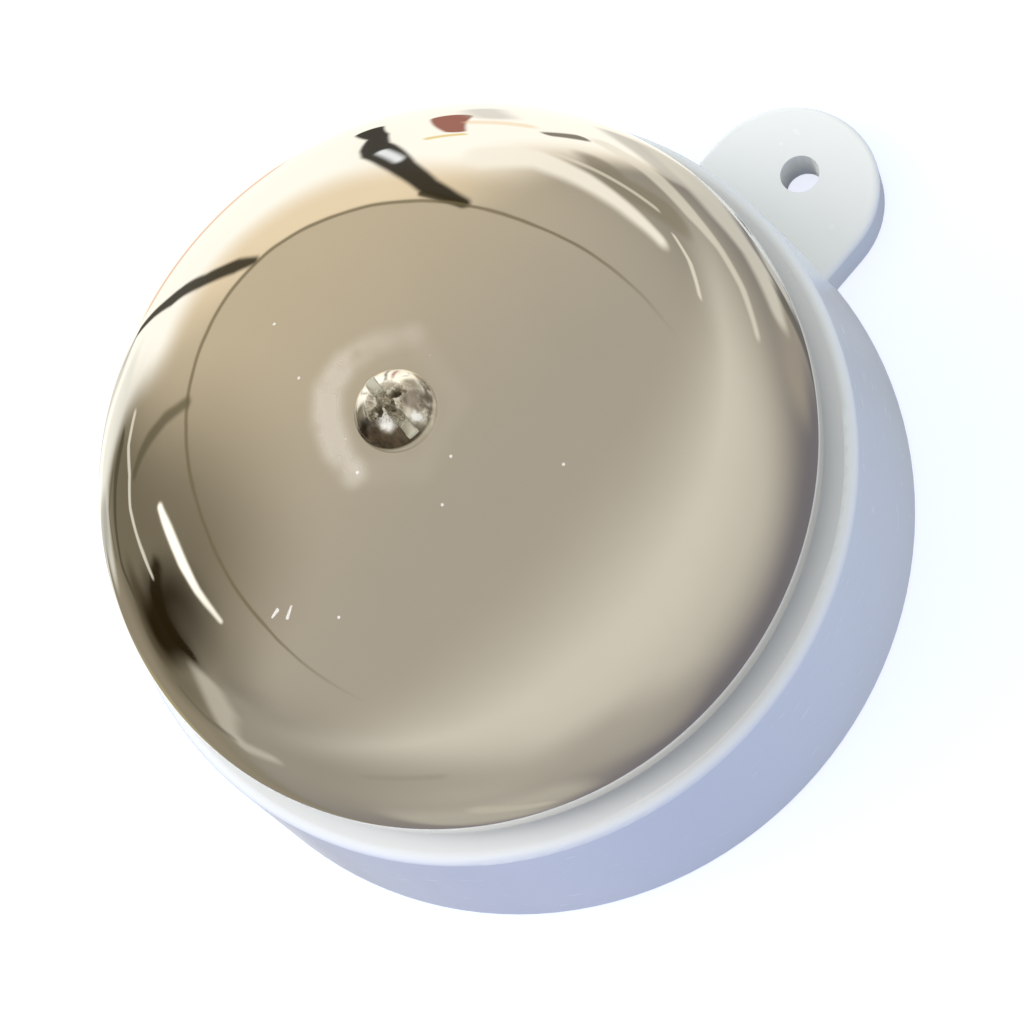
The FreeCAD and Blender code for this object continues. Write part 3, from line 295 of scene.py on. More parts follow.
def polished_gong():
    """Bright plated dome: a mirror with a dull smear round its screw, dust, two scratches and a
    painted dark shade along its rim."""
    material, nodes = finish("polished_gong")
    place = nodes.millimetres()
    x, y, z = nodes.parts(place)
    flat = nodes.joined(x, y, 0.0)
    outside = nodes.rise(z, GONG_RIM, GONG_RIM + 0.4)
    wander = nodes.noise(place, 0.32, 2.0, 0.5)
    smear = nodes.mark(flat, SMEAR, 1.8)
    faint = nodes.mark(flat, FAINT_SMEAR, 1.8)
    haze = smear * (nodes.rise(y, 7.5, 0.5) * 0.5 + 0.3) + faint * 0.16
    haze = haze * nodes.rise(wander, -0.1, 0.6) * outside
    dust = nodes.specks(place, 1.2, 0.08, 0.30) * nodes.rise(nodes.length(x, y), 9.0, 4.5)
    dust = dust * 0.8 + nodes.specks(place, 2.6, 0.07, 0.06) * 0.5
    for spot in DUST_SPOTS:
        far = nodes.vector("DISTANCE", flat, (spot[0], spot[1], 0.0), "Value")
        dust = dust + nodes.rise(far, 0.2, 0.1)
    for line in SCRATCHES:
        dust = dust + nodes.mark(flat, line, 0.12)
    dust = nodes.maths("MINIMUM", dust, 1.0) * outside
    stain = nodes.rise(nodes.noise(place, 0.09, 4.0, 0.6, 0.4), 0.35, 0.75)
    clean = nodes.blended(stain, (0.80, 0.775, 0.73), (0.785, 0.76, 0.712))
    dulled = nodes.blended(haze * 0.8, clean, (0.93, 0.895, 0.85))
    rough = haze * 0.34 + dust * 0.3 + stain * 0.01 + 0.02
    # Painted shade: a dark band just above the rim, standing for the shaded deck that the skirt
    # mirrors.
    painted_rim_shade = nodes.rise(z, GONG_RIM + 0.5, GONG_RIM + 0.2)
    dulled = nodes.blended(painted_rim_shade * 0.85, dulled, (0.10, 0.09, 0.13))
    coat(
        nodes,
        Base_Color=nodes.blended(dust * 0.8, dulled, (0.96, 0.94, 0.90)),
        Metallic=1.0 - dust * 0.6 - haze * 0.16,
        Roughness=rough,
        Normal=nodes.bumped(nodes.noise(place, 0.12, 2.0, 0.5), 0.012),
    )
    return material


def worn_screw():
    """The gong's screw: polished nickel, its recess torn by drivers, painted brown shade on the
    side that faces away from the light, a painted dull reflection and painted glints."""
    material, nodes = finish("worn_screw")
    place = nodes.millimetres()
    x, y, z = nodes.parts(place)
    radius = nodes.length(x, y) / SCREW_REACH
    across = x * SHADE_ACROSS[0] + y * SHADE_ACROSS[1]
    down = x * SHADE_DOWN[0] + y * SHADE_DOWN[1]
    fine = nodes.noise(place, 1.6, 4.0, 0.6)
    grit = nodes.noise(place, 7.0, 4.0, 0.7)
    # low and right mark the painted brown shade on the lower and right sides of the head.
    bowed = nodes.maths("ABSOLUTE", across - 0.4) * 0.12
    low = nodes.rise(down + (fine - 0.5) * 1.6 - bowed, 0.2, 2.3)
    right = nodes.rise(across + down * 0.2, 1.9, 3.3) * nodes.rise(fine, 0.3, 0.6)
    turn = math.radians(SCREW_TURN)
    beside = nodes.maths("ABSOLUTE", y * math.cos(turn) - x * math.sin(turn))
    middle = nodes.rise(radius, 0.58, 0.46)
    recess = nodes.rise(z, 44.85, 44.5) * middle
    slot_depth = nodes.maths("ABSOLUTE", z - SCREW_SLOT_FLOOR)
    floor = nodes.rise(beside, 0.60, 0.52) * nodes.rise(slot_depth, 0.3, 0.15)
    floor = floor * nodes.rise(radius, 0.40, 0.52)
    edge = nodes.rise(radius, 0.955, 0.985)
    # The painted shade, kept off the slot floor and the recess, and mostly off the rim edge.
    painted_shade = nodes.maths("MAXIMUM", low, right * 0.8) * (1.0 - floor)
    painted_shade = painted_shade * (1.0 - recess) * (1.0 - edge * 0.7)
    flat = nodes.joined(x, y, 0.0)
    # Painted reflection: a soft grey-brown spot on the head.
    reflection_patch = nodes.rise(nodes.vector("DISTANCE", flat, REFLECTION_PATCH, "Value"), 1.25, 0.7)
    polished = nodes.blended(fine, (0.97, 0.94, 0.86), (0.88, 0.84, 0.75))
    tone = nodes.blended(reflection_patch * (1.0 - recess) * 0.8, polished, (0.37, 0.32, 0.285))
    # The colours of the painted shade.
    brown = nodes.blended(nodes.rise(fine, 0.35, 0.65), (0.045, 0.028, 0.014), (0.13, 0.087, 0.046))
    tone = nodes.blended(painted_shade * 0.93, tone, brown)
    # Darker in speckles inside the recess.
    recess_dark = recess * nodes.rise(grit, 0.47, 0.58) * 0.7
    tone = nodes.blended(recess_dark, tone, (0.16, 0.135, 0.10))
    tone = nodes.blended(floor, tone, (0.74, 0.75, 0.68))
    # Painted highlights: white, barely metallic spots where glints of a lamp sit on the dome.
    painted_glints = None
    for spot, gone, full in GLINT_SPOTS:
        far = nodes.vector("DISTANCE", flat, spot, "Value") + (fine - 0.5) * 0.7
        glint = nodes.rise(far, gone, full)
        painted_glints = glint if painted_glints is None else nodes.maths("MAXIMUM", painted_glints, glint)
    painted_glints = painted_glints * (1.0 - floor)
    coat(
        nodes,
        Base_Color=nodes.blended(painted_glints, tone, (0.98, 0.95, 0.86)),
        Metallic=1.0 - painted_glints * 0.85,
        Roughness=fine * 0.1 + floor * 0.28 + painted_glints * 0.2 + 0.11,
        Normal=nodes.bumped(grit * middle + fine * 0.03, 0.16),
    )
    return material


def plated_screw():
    """Nickel plated steel with fine turning marks."""
    material, nodes = finish("plated_screw")
    place = nodes.millimetres()
    fine = nodes.noise(place, 2.2, 4.0, 0.6)
    coat(
        nodes,
        Base_Color=nodes.blended(
            nodes.rise(fine, 0.35, 0.7), (0.72, 0.70, 0.665), (0.62, 0.59, 0.545)
        ),
        Metallic=1.0,
        Roughness=fine * 0.1 + 0.16,
        Normal=nodes.bumped(fine, 0.01),
    )
    return material


def moulded_housing():
    """Glossy white plastic, a little cool, with faint flow marks, dust, scuffs and one thin painted
    highlight line along part of its lip."""
    material, nodes = finish("moulded_housing")
    place = nodes.millimetres()
    x, y, z = nodes.parts(place)
    cloud = nodes.noise(place, 0.05, 3.0, 0.55)
    tone = nodes.blended(cloud, (0.83, 0.86, 0.865), (0.87, 0.89, 0.89))
    scuffs = nodes.rise(nodes.noise(nodes.stretched(place, 0.25, 0.25, 3.0), 1.6, 4.0), 0.66, 0.78)
    front = nodes.rise(nodes.vector("DISTANCE", place, CHIPPED_CORNER, "Value"), 13.0, 6.0)
    chips = nodes.specks(nodes.stretched(place, 1.0, 1.0, 0.35), 0.9, 0.07, 0.5) * front
    dust = nodes.maths("MINIMUM", nodes.specks(place, 2.3, 0.13, 0.08) * 0.6 + chips, 1.0)
    colour = nodes.blended(dust * 0.5 + scuffs * 0.10, tone, (0.95, 0.96, 0.955))
    radius = nodes.length(x, y)
    # Painted highlight: a thin lighter, glossier line on the lip.
    painted_highlight = nodes.rise(nodes.maths("ABSOLUTE", radius - HIGHLIGHT_RADIUS), 0.16, 0.03)
    painted_highlight = painted_highlight * nodes.rise(z, 19.0, 19.5) * nodes.rise(x, *HIGHLIGHT_SPAN)
    peel = nodes.noise(place, 0.9, 3.0, 0.5)
    coat(
        nodes,
        Base_Color=nodes.blended(painted_highlight * 0.7, colour, (1.0, 1.0, 0.99)),
        Roughness=scuffs * 0.12 + cloud * 0.05 + 0.22 - painted_highlight * 0.14,
        Normal=nodes.bumped(peel, 0.006),
    )
    return material


def brushed_metal(name, light, dark, rough, grain):
    """Bare or plated metal with a fine grain along one axis; grain says how it is stretched."""
    material, nodes = finish(name)
    place = nodes.millimetres()
    lines = nodes.noise(nodes.stretched(place, *grain), 2.0, 4.0, 0.6)
    cloud = nodes.noise(place, 0.22, 4.0, 0.6)
    tone = nodes.blended(nodes.rise(lines * 0.6 + cloud * 0.4, 0.35, 0.65), dark, light)
    coat(
        nodes,
        Base_Color=tone,
        Metallic=1.0,
        Roughness=lines * 0.12 + cloud * 0.08 + rough,
        Normal=nodes.bumped(lines, 0.004),
    )
    return material


def moulded(name, light, dark, rough):
    """Moulded or pressed insulating material with a mottled tone and a fine texture."""
    material, nodes = finish(name)
    place = nodes.millimetres()
    mottle = nodes.noise(place, 0.5, 4.0, 0.6)
    grain = nodes.noise(place, 6.0, 2.0)
    tone = nodes.blended(nodes.rise(mottle, 0.35, 0.65), dark, light)
    coat(
        nodes,
        Base_Color=tone,
        Roughness=mottle * 0.15 + rough,
        Normal=nodes.bumped(grain * 0.5 + mottle * 0.5, 0.01),
    )
    return material


def show_room():
    """The studio. The camera sees white; metal mirrors a pale room that is brightest on the
    bell's left, with a few dark strips; everything else is lit by a soft sky and one window."""
    world = bpy.data.worlds.new("studio")
    bpy.context.scene.world = world
    world.use_nodes = True
    nodes = Nodes(world.node_tree)
    direction = nodes.node("ShaderNodeTexCoord", output="Generated")
    x, y, z = nodes.parts(direction)

    # The light that falls on matt surfaces: white from above, bluish along the horizon, bluest in
    # front of the bell, and a soft window high on its front left.
    toward = nodes.maths("MAXIMUM", x * WINDOW[0] + y * WINDOW[1] + z * WINDOW[2], 0.0)
    behind = nodes.rise(y * 0.9 + x * 0.1, -0.8, 1.0)
    horizon = nodes.blended(behind, (0.0, 0.12, 0.78), (1.22, 1.38, 1.33))
    above = nodes.blended(nodes.rise(z, 0.0, 0.7), horizon, (0.78, 0.77, 0.745))
    sky = nodes.node(
        "ShaderNodeMix",
        {"data_type": "RGBA", "blend_type": "ADD"},
        {0: toward ** WINDOW_FOCUS, 6: above, 7: (6.5, 6.4, 6.05)},
        2,
    )
    mirrored = nodes.maths("MAXIMUM", nodes.ray("Is Glossy Ray"), nodes.ray("Is Transmission Ray"))
    seen = nodes.either(mirrored, nodes.glow(sky), nodes.glow(mirrored_room(nodes, x, y, z)))
    seen = nodes.either(nodes.ray("Is Camera Ray"), seen, nodes.glow((1.0, 1.0, 1.0)))
    nodes.node("ShaderNodeOutputWorld", {}, {"Surface": seen})


# Soft-edged marks of the mirrored room: the points of a line with its half width at each,
# how soft its edge is, its colour and its strength.
ROOM_MARKS = [
    ([(-0.42, 0.655, 0.03), (-0.328, 0.60, 0.05), (-0.222, 0.733, 0.05)], 0.06,
     (0.31, 0.27, 0.20), 0.75),
    ([(-0.519, 0.39, 0.02), (-0.464, 0.456, 0.023), (-0.372, 0.483, 0.018), (-0.284, 0.497, 0.010),
      (-0.191, 0.507, 0.005)], 0.03, (1.18, 1.13, 1.0), 0.9),
    ([(-0.459, 0.52, 0.006), (-0.377, 0.573, 0.008), (-0.25, 0.662, 0.006)], 0.015,
     (1.0, 0.93, 0.78), 0.6),
    ([(-0.168, 0.608, 0.004), (-0.108, 0.581, 0.007), (-0.055, 0.508, 0.003)], 0.014,
     (1.1, 1.05, 0.9), 0.7),
    ([(-0.58, 0.894, 0.03), (-0.406, 0.943, 0.045), (-0.22, 0.93, 0.04), (-0.08, 0.955, 0.015),
      (0.075, 0.944, 0.012), (0.222, 0.879, 0.005)], 0.04, (1.0, 0.95, 0.82), 0.65),
    ([(0.12, 1.42, 0.05), (0.45, 1.22, 0.05)], 0.25, (0.43, 0.39, 0.32), 0.8),
    ([(-0.883, 1.243, 0.08), (-0.285, 1.27, 0.08), (-0.113, 1.33, 0.07), (0.16, 1.27, 0.03)], 0.10,
     (0.82, 0.80, 0.70), 0.8),
    ([(-0.85, 1.08, 0.03), (-0.48, 1.09, 0.03)], 0.07, (0.66, 0.64, 0.59), 0.75),
    ([(-0.55, 1.52, 0.04), (-0.27, 1.52, 0.03)], 0.07, (0.76, 0.76, 0.68), 0.75),
    ([(-0.889, 0.595, 0.045), (-0.681, 0.462, 0.015)], 0.014, (0.34, 0.075, 0.04), 0.9),
    ([(-0.662, 0.384, 0.004), (-0.637, 0.442, 0.005)], 0.012, (1.0, 0.75, 0.25), 0.8),
    ([(-0.762, 0.586, 0.015), (-0.697, 0.686, 0.015)], 0.03, (1.1, 0.82, 0.50), 0.5),
    ([(-0.612, 0.688, 0.010), (-0.61, 0.811, 0.018)], 0.02, (0.12, 0.10, 0.06), 0.85),
    ([(-0.98, 0.72, 0.02), (-0.84, 0.69, 0.02)], 0.07, (0.66, 0.65, 0.60), 0.6),
    ([(-1.03, 0.44, 0.03), (-0.862, 0.392, 0.018), (-0.737, 0.318, 0.022), (-0.697, 0.303, 0.026),
      (-0.60, 0.285, 0.015), (-0.53, 0.279, 0.011), (-0.46, 0.290, 0.003)], 0.012,
     (0.025, 0.021, 0.014), 0.96),
    ([(-0.526, 0.262, 0.002), (-0.462, 0.287, 0.004)], 0.008, (0.05, 0.04, 0.02), 0.9),
    ([(-0.685, 0.302, 0.003), (-0.632, 0.296, 0.002)], 0.016, (1.15, 1.2, 1.25), 0.9),
    ([(-0.672, 0.035, 0.002), (-0.70, 0.013, 0.009), (-0.762, -0.037, 0.008),
      (-0.86, -0.09, 0.013), (-1.048, -0.156, 0.009), (-1.25, -0.231, 0.008),
      (-1.284, -0.308, 0.003)], 0.012, (0.04, 0.034, 0.02), 0.95),
    ([(-0.597, -0.179, 0.002), (-0.624, -0.222, 0.004), (-0.641, -0.265, 0.006),
      (-0.651, -0.308, 0.005), (-0.656, -0.347, 0.004)], 0.012, (0.17, 0.145, 0.08), 0.8),
    ([(-0.50, -0.36, 0.05), (-0.76, -0.50, 0.10), (-0.56, -0.88, 0.05)], 0.26,
     (0.13, 0.11, 0.07), 0.62),
    ([(-0.653, -0.689, 0.03), (-0.605, -0.822, 0.04)], 0.10, (0.08, 0.06, 0.035), 0.8),
    ([(-0.424, -0.476, 0.03), (-0.466, -0.58, 0.055), (-0.547, -0.73, 0.04)], 0.11,
     (0.022, 0.014, 0.004), 0.98),
    ([(-0.539, -0.332, 0.003), (-0.504, -0.346, 0.006), (-0.446, -0.372, 0.006),
      (-0.398, -0.39, 0.003), (-0.335, -0.403, 0.0)], 0.009, (1.6, 1.55, 1.4), 0.98),
    ([(-0.33, -0.49, 0.02), (-0.28, -0.54, 0.0)], 0.14, (0.20, 0.175, 0.13), 0.5),
    ([(-0.505, -0.43, 0.004), (-0.50, -0.55, 0.03), (-0.46, -0.60, 0.04), (-0.40, -0.60, 0.02)],
     0.025, (0.022, 0.014, 0.004), 0.9),
    ([(-1.02, -0.34, 0.05), (-1.12, -0.55, 0.06), (-1.05, -0.75, 0.03)], 0.10,
     (0.95, 0.95, 0.86), 0.7),
    ([(-0.83, -0.37, 0.012), (-0.87, -0.49, 0.018), (-0.86, -0.60, 0.012), (-0.82, -0.70, 0.008),
      (-0.71, -0.73, 0.004)], 0.022, (0.10, 0.09, 0.06), 0.85),
    ([(-0.93, -0.50, 0.004), (-0.985, -0.62, 0.006), (-0.90, -0.72, 0.003)], 0.014,
     (0.16, 0.15, 0.11), 0.7),
    ([(-0.745, -0.28, 0.004), (-0.735, -0.335, 0.007), (-0.685, -0.365, 0.005),
      (-0.655, -0.42, 0.007), (-0.60, -0.442, 0.004), (-0.56, -0.455, 0.005),
      (-0.52, -0.47, 0.001)], 0.012, (0.95, 0.92, 0.80), 0.85),
    ([(-0.34, -0.71, 0.02), (-0.315, -0.819, 0.03), (-0.318, -1.015, 0.015),
      (-0.271, -1.09, 0.01), (-0.142, -1.053, 0.0)], 0.07, (0.68, 0.64, 0.55), 0.7),
    ([(-0.54, -0.992, 0.006), (-0.446, -1.058, 0.01), (-0.321, -1.073, 0.008)], 0.03,
     (0.15, 0.13, 0.10), 0.45),
    ([(0.198, -0.856, 0.005), (0.39, -0.738, 0.005)], 0.05, (0.36, 0.32, 0.25), 0.4),
    ([(0.72, -1.167, 0.03), (0.96, -1.196, 0.02)], 0.08, (0.80, 0.75, 0.62), 0.45),
    ([(0.42, -1.42, 0.05), (0.72, -1.32, 0.08), (1.05, -1.0, 0.05)], 0.22, (0.62, 0.59, 0.50), 0.6),
    ([(0.95, -0.42, 0.06), (1.25, -0.30, 0.05)], 0.36, (0.40, 0.375, 0.33), 0.6),
    ([(-0.5, 1.74, 0.03), (-0.15, 1.68, 0.05), (-0.03, 1.50, 0.04)], 0.10,
     (0.16, 0.155, 0.13), 0.8),
    ([(-1.40, -0.82, 0.08), (-1.37, -1.10, 0.08)], 0.12, (1.18, 1.15, 1.03), 0.85),
    ([(-1.36, -0.69, 0.02), (-1.10, -0.68, 0.03)], 0.08, (0.50, 0.49, 0.44), 0.8),
    ([(-1.28, -0.31, 0.02), (-1.50, -0.47, 0.03)], 0.08, (0.62, 0.61, 0.55), 0.7),
    ([(-1.16, -1.02, 0.03), (-1.0, -1.16, 0.03)], 0.09, (0.50, 0.44, 0.22), 0.6),
    ([(-0.95, -1.5, 0.03), (-0.6, -1.6, 0.03)], 0.10, (0.33, 0.32, 0.29), 0.8),
    ([(-1.33, -0.15, 0.015), (-1.36, 0.22, 0.015)], 0.06, (1.0, 0.60, 0.40), 0.8),
]


def mirrored_room(nodes, x, y, z):
    """What metal mirrors, drawn on a chart of directions: the zenith at its middle, the horizon
    at a distance of 1 and the bell's +X to the right."""
    from_zenith = nodes.maths("ARCCOSINE", z) * (2 / math.pi)
    spread = from_zenith / nodes.maths("SQRT", x * x + y * y + 1e-9)
    p, q = x * spread, y * spread
    chart = nodes.joined(p, q, 0.0)
    ceiling = nodes.length((p - CEILING_MIDDLE) / CEILING_REACH[0], q / CEILING_REACH[1])
    warm = nodes.blended(nodes.rise(p, -0.10, -0.66), (0.485, 0.442, 0.365), (0.67, 0.572, 0.41))
    around = nodes.rise(ceiling, 1.0, 1.7) * nodes.rise(p, -0.62, -0.35)
    warm = nodes.blended(around, warm, (0.385, 0.355, 0.295))
    sides = nodes.rise(q, -0.95, -0.35) * nodes.rise(q, 1.25, 0.5)
    outward = nodes.rise(from_zenith, 0.35, 1.05)
    crescent = nodes.blended(outward, (0.765, 0.728, 0.632), (0.63, 0.60, 0.52))
    colour = nodes.blended(nodes.rise(q * q * 0.4 + p, -0.03, 0.235) * sides, warm, crescent)
    lower = nodes.rise(p, 0.0, 0.7) * nodes.rise(q, -0.5, -0.95)
    colour = nodes.blended(lower * 0.8, colour, (0.56, 0.53, 0.455))
    far = nodes.rise(from_zenith + nodes.maths("MINIMUM", q * 0.2, q * 0.06), 0.85, 1.66)
    colour = nodes.blended(far, colour, (0.20, 0.187, 0.205))
    brown = nodes.rise(q, -0.16, -0.40) * nodes.rise(p, -0.18, -0.44)
    colour = nodes.blended(brown * 0.85, colour, (0.29, 0.255, 0.18))

    # The bright left of the room: cream next to the ceiling's edge, then white.
    bright = nodes.rise(p, -0.38, -0.58) * nodes.rise(q, 1.35, 0.95)
    below = q - (p + 0.70) * 1.09
    cream = bright * nodes.rise(ceiling, 0.995, 1.02) * nodes.rise(below, -0.20, 0.06)
    white = bright * nodes.rise(ceiling, 1.08, 1.28) * nodes.rise(below, -0.24, -0.08)
    colour = nodes.blended(cream, colour, (1.02, 0.85, 0.60))
    colour = nodes.blended(white, colour, (1.3, 1.27, 1.17))
    for points, soft, shade, strength in ROOM_MARKS:
        line = nodes.mark(chart, points, soft)
        colour = nodes.blended(line * strength, colour, shade)
    edge = nodes.rise(nodes.maths("ABSOLUTE", ceiling - 1.0), 0.012, 0.003)
    colour = nodes.blended(edge * nodes.rise(p, -0.02, -0.3) * 0.75, colour, (0.20, 0.165, 0.09))
    grazing = nodes.rise(from_zenith, 1.70, 1.86) * nodes.rise(p, -0.1, -0.6)
    return nodes.blended(grazing * 0.75, colour, (0.40, 0.41, 0.38))


def lay_floor():
    """A pale floor under the back face that shows as white but keeps the bell's shadow."""
    mesh = bpy.data.meshes.new("floor")
    half = 1.5
    below = -0.0002
    mesh.from_pydata(
        [(x, y, below) for x, y in ((-half, -half), (half, -half), (half, half), (-half, half))],
        [],
        [(0, 1, 2, 3)],
    )
    floor = bpy.data.objects.new("floor", mesh)
    bpy.context.scene.collection.objects.link(floor)
    material, nodes = finish("pale_floor")
    place = nodes.millimetres()
    tone = nodes.blended(nodes.noise(place, 0.02, 2.0), (0.25, 0.33, 0.65), (0.27, 0.35, 0.67))
    plain = nodes.node("ShaderNodeBsdfDiffuse", {}, {"Color": tone})
    glow = nodes.node(
        "ShaderNodeEmission",
        {},
        {"Color": (1.0, 1.0, 1.0), "Strength": nodes.ray("Is Camera Ray") * 0.75},
    )
    both = nodes.node("ShaderNodeAddShader", {}, {0: plain, 1: glow})
    nodes.surface(both)
    mesh.materials.append(material)
    floor.visible_glossy = False
    floor.visible_transmission = False


def place_camera():
    """The photograph's viewing angle: from the bell's right, steeply down on to the gong."""
    data = bpy.data.cameras.new("camera")
    camera = bpy.data.objects.new("camera", data)
    bpy.context.scene.collection.objects.link(camera)
    data.lens = 70.3
    data.sensor_width = 36.0
    data.clip_start = 0.01
    data.clip_end = 10.0
    camera.location = (0.0848, -0.0008, 0.2101)
    camera.rotation_euler = [math.radians(a) for a in (15.1498, 16.771, 42.646)]
    bpy.context.scene.camera = camera


def grid_faces(rows, columns):
    """Quads between the rows of a grid whose columns run all the way round."""
    row = np.arange(rows - 1)[:, None] * columns
    here = np.arange(columns)[None, :]
    there = (here + 1) % columns
    corners = [row + here, row + there, row + columns + there, row + columns + here]
    return np.stack(corners, -1).reshape(-1, 4)


def end_faces(rows, columns):
    """Triangles that close the first and last row of such a grid on the two points after it."""
    here = np.arange(columns)
    there = (here + 1) % columns
    last = (rows - 1) * columns
    start = np.stack([np.full(columns, rows * columns), there, here], -1)
    end = np.stack([np.full(columns, rows * columns + 1), last + here, last + there], -1)
    return start.tolist() + end.tolist()


def turned_solid(radius, height, around, closed):
    """Points and faces of a solid turned about Z. radius and height run along its outline, counter
    clockwise as seen with the axis on the left, and may be given for every step around as well.
    A closed outline returns to its start, as a ring's does; an open one ends on the axis twice."""
    angle = np.arange(around) * (2 * np.pi / around)
    rows = len(radius)
    radius, height = [
        np.broadcast_to(np.reshape(v, (rows, -1)), (rows, around)) for v in (radius, height)
    ]
    points = np.stack([radius * np.cos(angle), radius * np.sin(angle), height], -1).reshape(-1, 3)
    faces = grid_faces(rows, around)
    if closed:
        last = (rows - 1) * around
        here = np.arange(around)
        there = (here + 1) % around
        seam = np.stack([last + here, last + there, there, here], -1)
        return points, np.concatenate([faces, seam]).tolist()
    poles = [[0, 0, height[0].mean()], [0, 0, height[-1].mean()]]
    return np.concatenate([points, poles]), faces.tolist() + end_faces(rows, around)


def arc(middle, radius, start, end, steps):
    """Points of a round corner in an outline, angles in degrees."""
    angle = np.radians(np.linspace(start, end, steps))
    return np.stack([middle[0] + radius * np.cos(angle), middle[1] + radius * np.sin(angle)], -1)


def add_piece(name, points, faces, material, slot, *stands_for, body=BELL):
    """A smooth mesh piece from points in millimetres, in place of these CAD nodes. With no body it
    is left free."""
    mesh = bpy.data.meshes.new(name)
    mesh.from_pydata((points / 1000).tolist(), [], faces)
    mesh.polygons.foreach_set("use_smooth", np.ones(len(faces), bool))
    mesh.materials.append(material)
    piece = bpy.data.objects.new(name, mesh)
    bpy.context.scene.collection.objects.link(piece)
    if body:
        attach(piece, body)
    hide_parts(*stands_for)
    return piece


def dome_line(steps=1000):
    """Slope, radius and height along the gong's outer line, from its middle to its rim.

    With s the slope, the line bends with the radius of curvature
        rho(s) = shoulder + (crown - shoulder) f(s),
    where f falls smoothly from 1 at SHOULDER_STARTS to 0 at SHOULDER_FULL degrees, and
        r = sum of rho cos(s) ds,   z = top - sum of rho sin(s) ds.
    crown and shoulder are the two radii that bring the line to the gong's radius and fall at 90."""
    slope = np.radians((np.arange(steps) + 0.5) * (90.0 / steps))
    step = np.radians(90.0 / steps)
    t = np.clip((np.degrees(slope) - SHOULDER_STARTS) / (SHOULDER_FULL - SHOULDER_STARTS), 0, 1)
    f = 1 - t * t * (3 - 2 * t)
    turns = (np.cos(slope), np.sin(slope))
    sums = [[(share * turn).sum() * step for share in (1 - f, f)] for turn in turns]
    shoulder, crown = np.linalg.solve(sums, [GONG_RADIUS, GONG_FALL])
    rho = (shoulder + (crown - shoulder) * f) * step
    return slope, np.cumsum(rho * np.cos(slope)), GONG_TOP - np.cumsum(rho * np.sin(slope))


def make_gong(material):
    """The pressed dome: flat seat and hole, smooth outer line, wall of one thickness, round rim."""
    slope, radius, height = dome_line()
    length = np.cumsum(np.hypot(np.gradient(radius), np.gradient(height)))
    places = np.arange(len(length))
    picks = np.interp(np.linspace(length[0], length[-1], GONG_ROWS), length, places)
    slope, radius, height = [np.interp(picks, places, line) for line in (slope, radius, height)]
    outer = np.stack([radius, height], -1)
    inner = outer - GONG_WALL * np.stack([np.sin(slope), np.cos(slope)], -1)
    outer = outer[radius > GONG_SEAT_RADIUS]
    inner = inner[radius > GONG_SEAT_RADIUS][::3]
    seat = np.stack([np.linspace(GONG_HOLE + 0.2, GONG_SEAT_RADIUS, 8), np.full(8, GONG_SEAT)], -1)
    below = seat - (0, GONG_WALL)
    half = GONG_WALL / 2
    line = np.concatenate([
        arc((GONG_RADIUS - half, GONG_RIM + half), half, 180, 360, 14),
        outer[::-1],
        seat[::-1],
        arc((GONG_HOLE + 0.2, GONG_SEAT - 0.2), 0.2, 90, 180, 5),
        arc((GONG_HOLE + 0.2, GONG_SEAT - GONG_WALL + 0.2), 0.2, 180, 270, 5),
        below,
        inner,
    ])
    points, faces = turned_solid(line[:, 0], line[:, 1], GONG_AROUND, closed=True)
    add_piece("polished_dome", points, faces, material, "chrome", "gong")


def ripples(x, y, seed, pitch, waves=26):
    """Uneven relief about 1 high: a seeded sum of sine waves of about this pitch."""
    lots = np.random.default_rng(seed)
    total = np.zeros_like(x)
    for turn, phase, stretch in lots.uniform(0, 1, (waves, 3)):
        scale = 2 * np.pi / (pitch * (0.6 + 1.2 * stretch))
        angle = turn * 2 * np.pi
        total += np.sin(scale * (x * np.cos(angle) + y * np.sin(angle)) + phase * 2 * np.pi)
    return total / np.sqrt(waves)


def smooth_step(value, low, high):
    t = np.clip((value - low) / (high - low), 0, 1)
    return t * t * (3 - 2 * t)


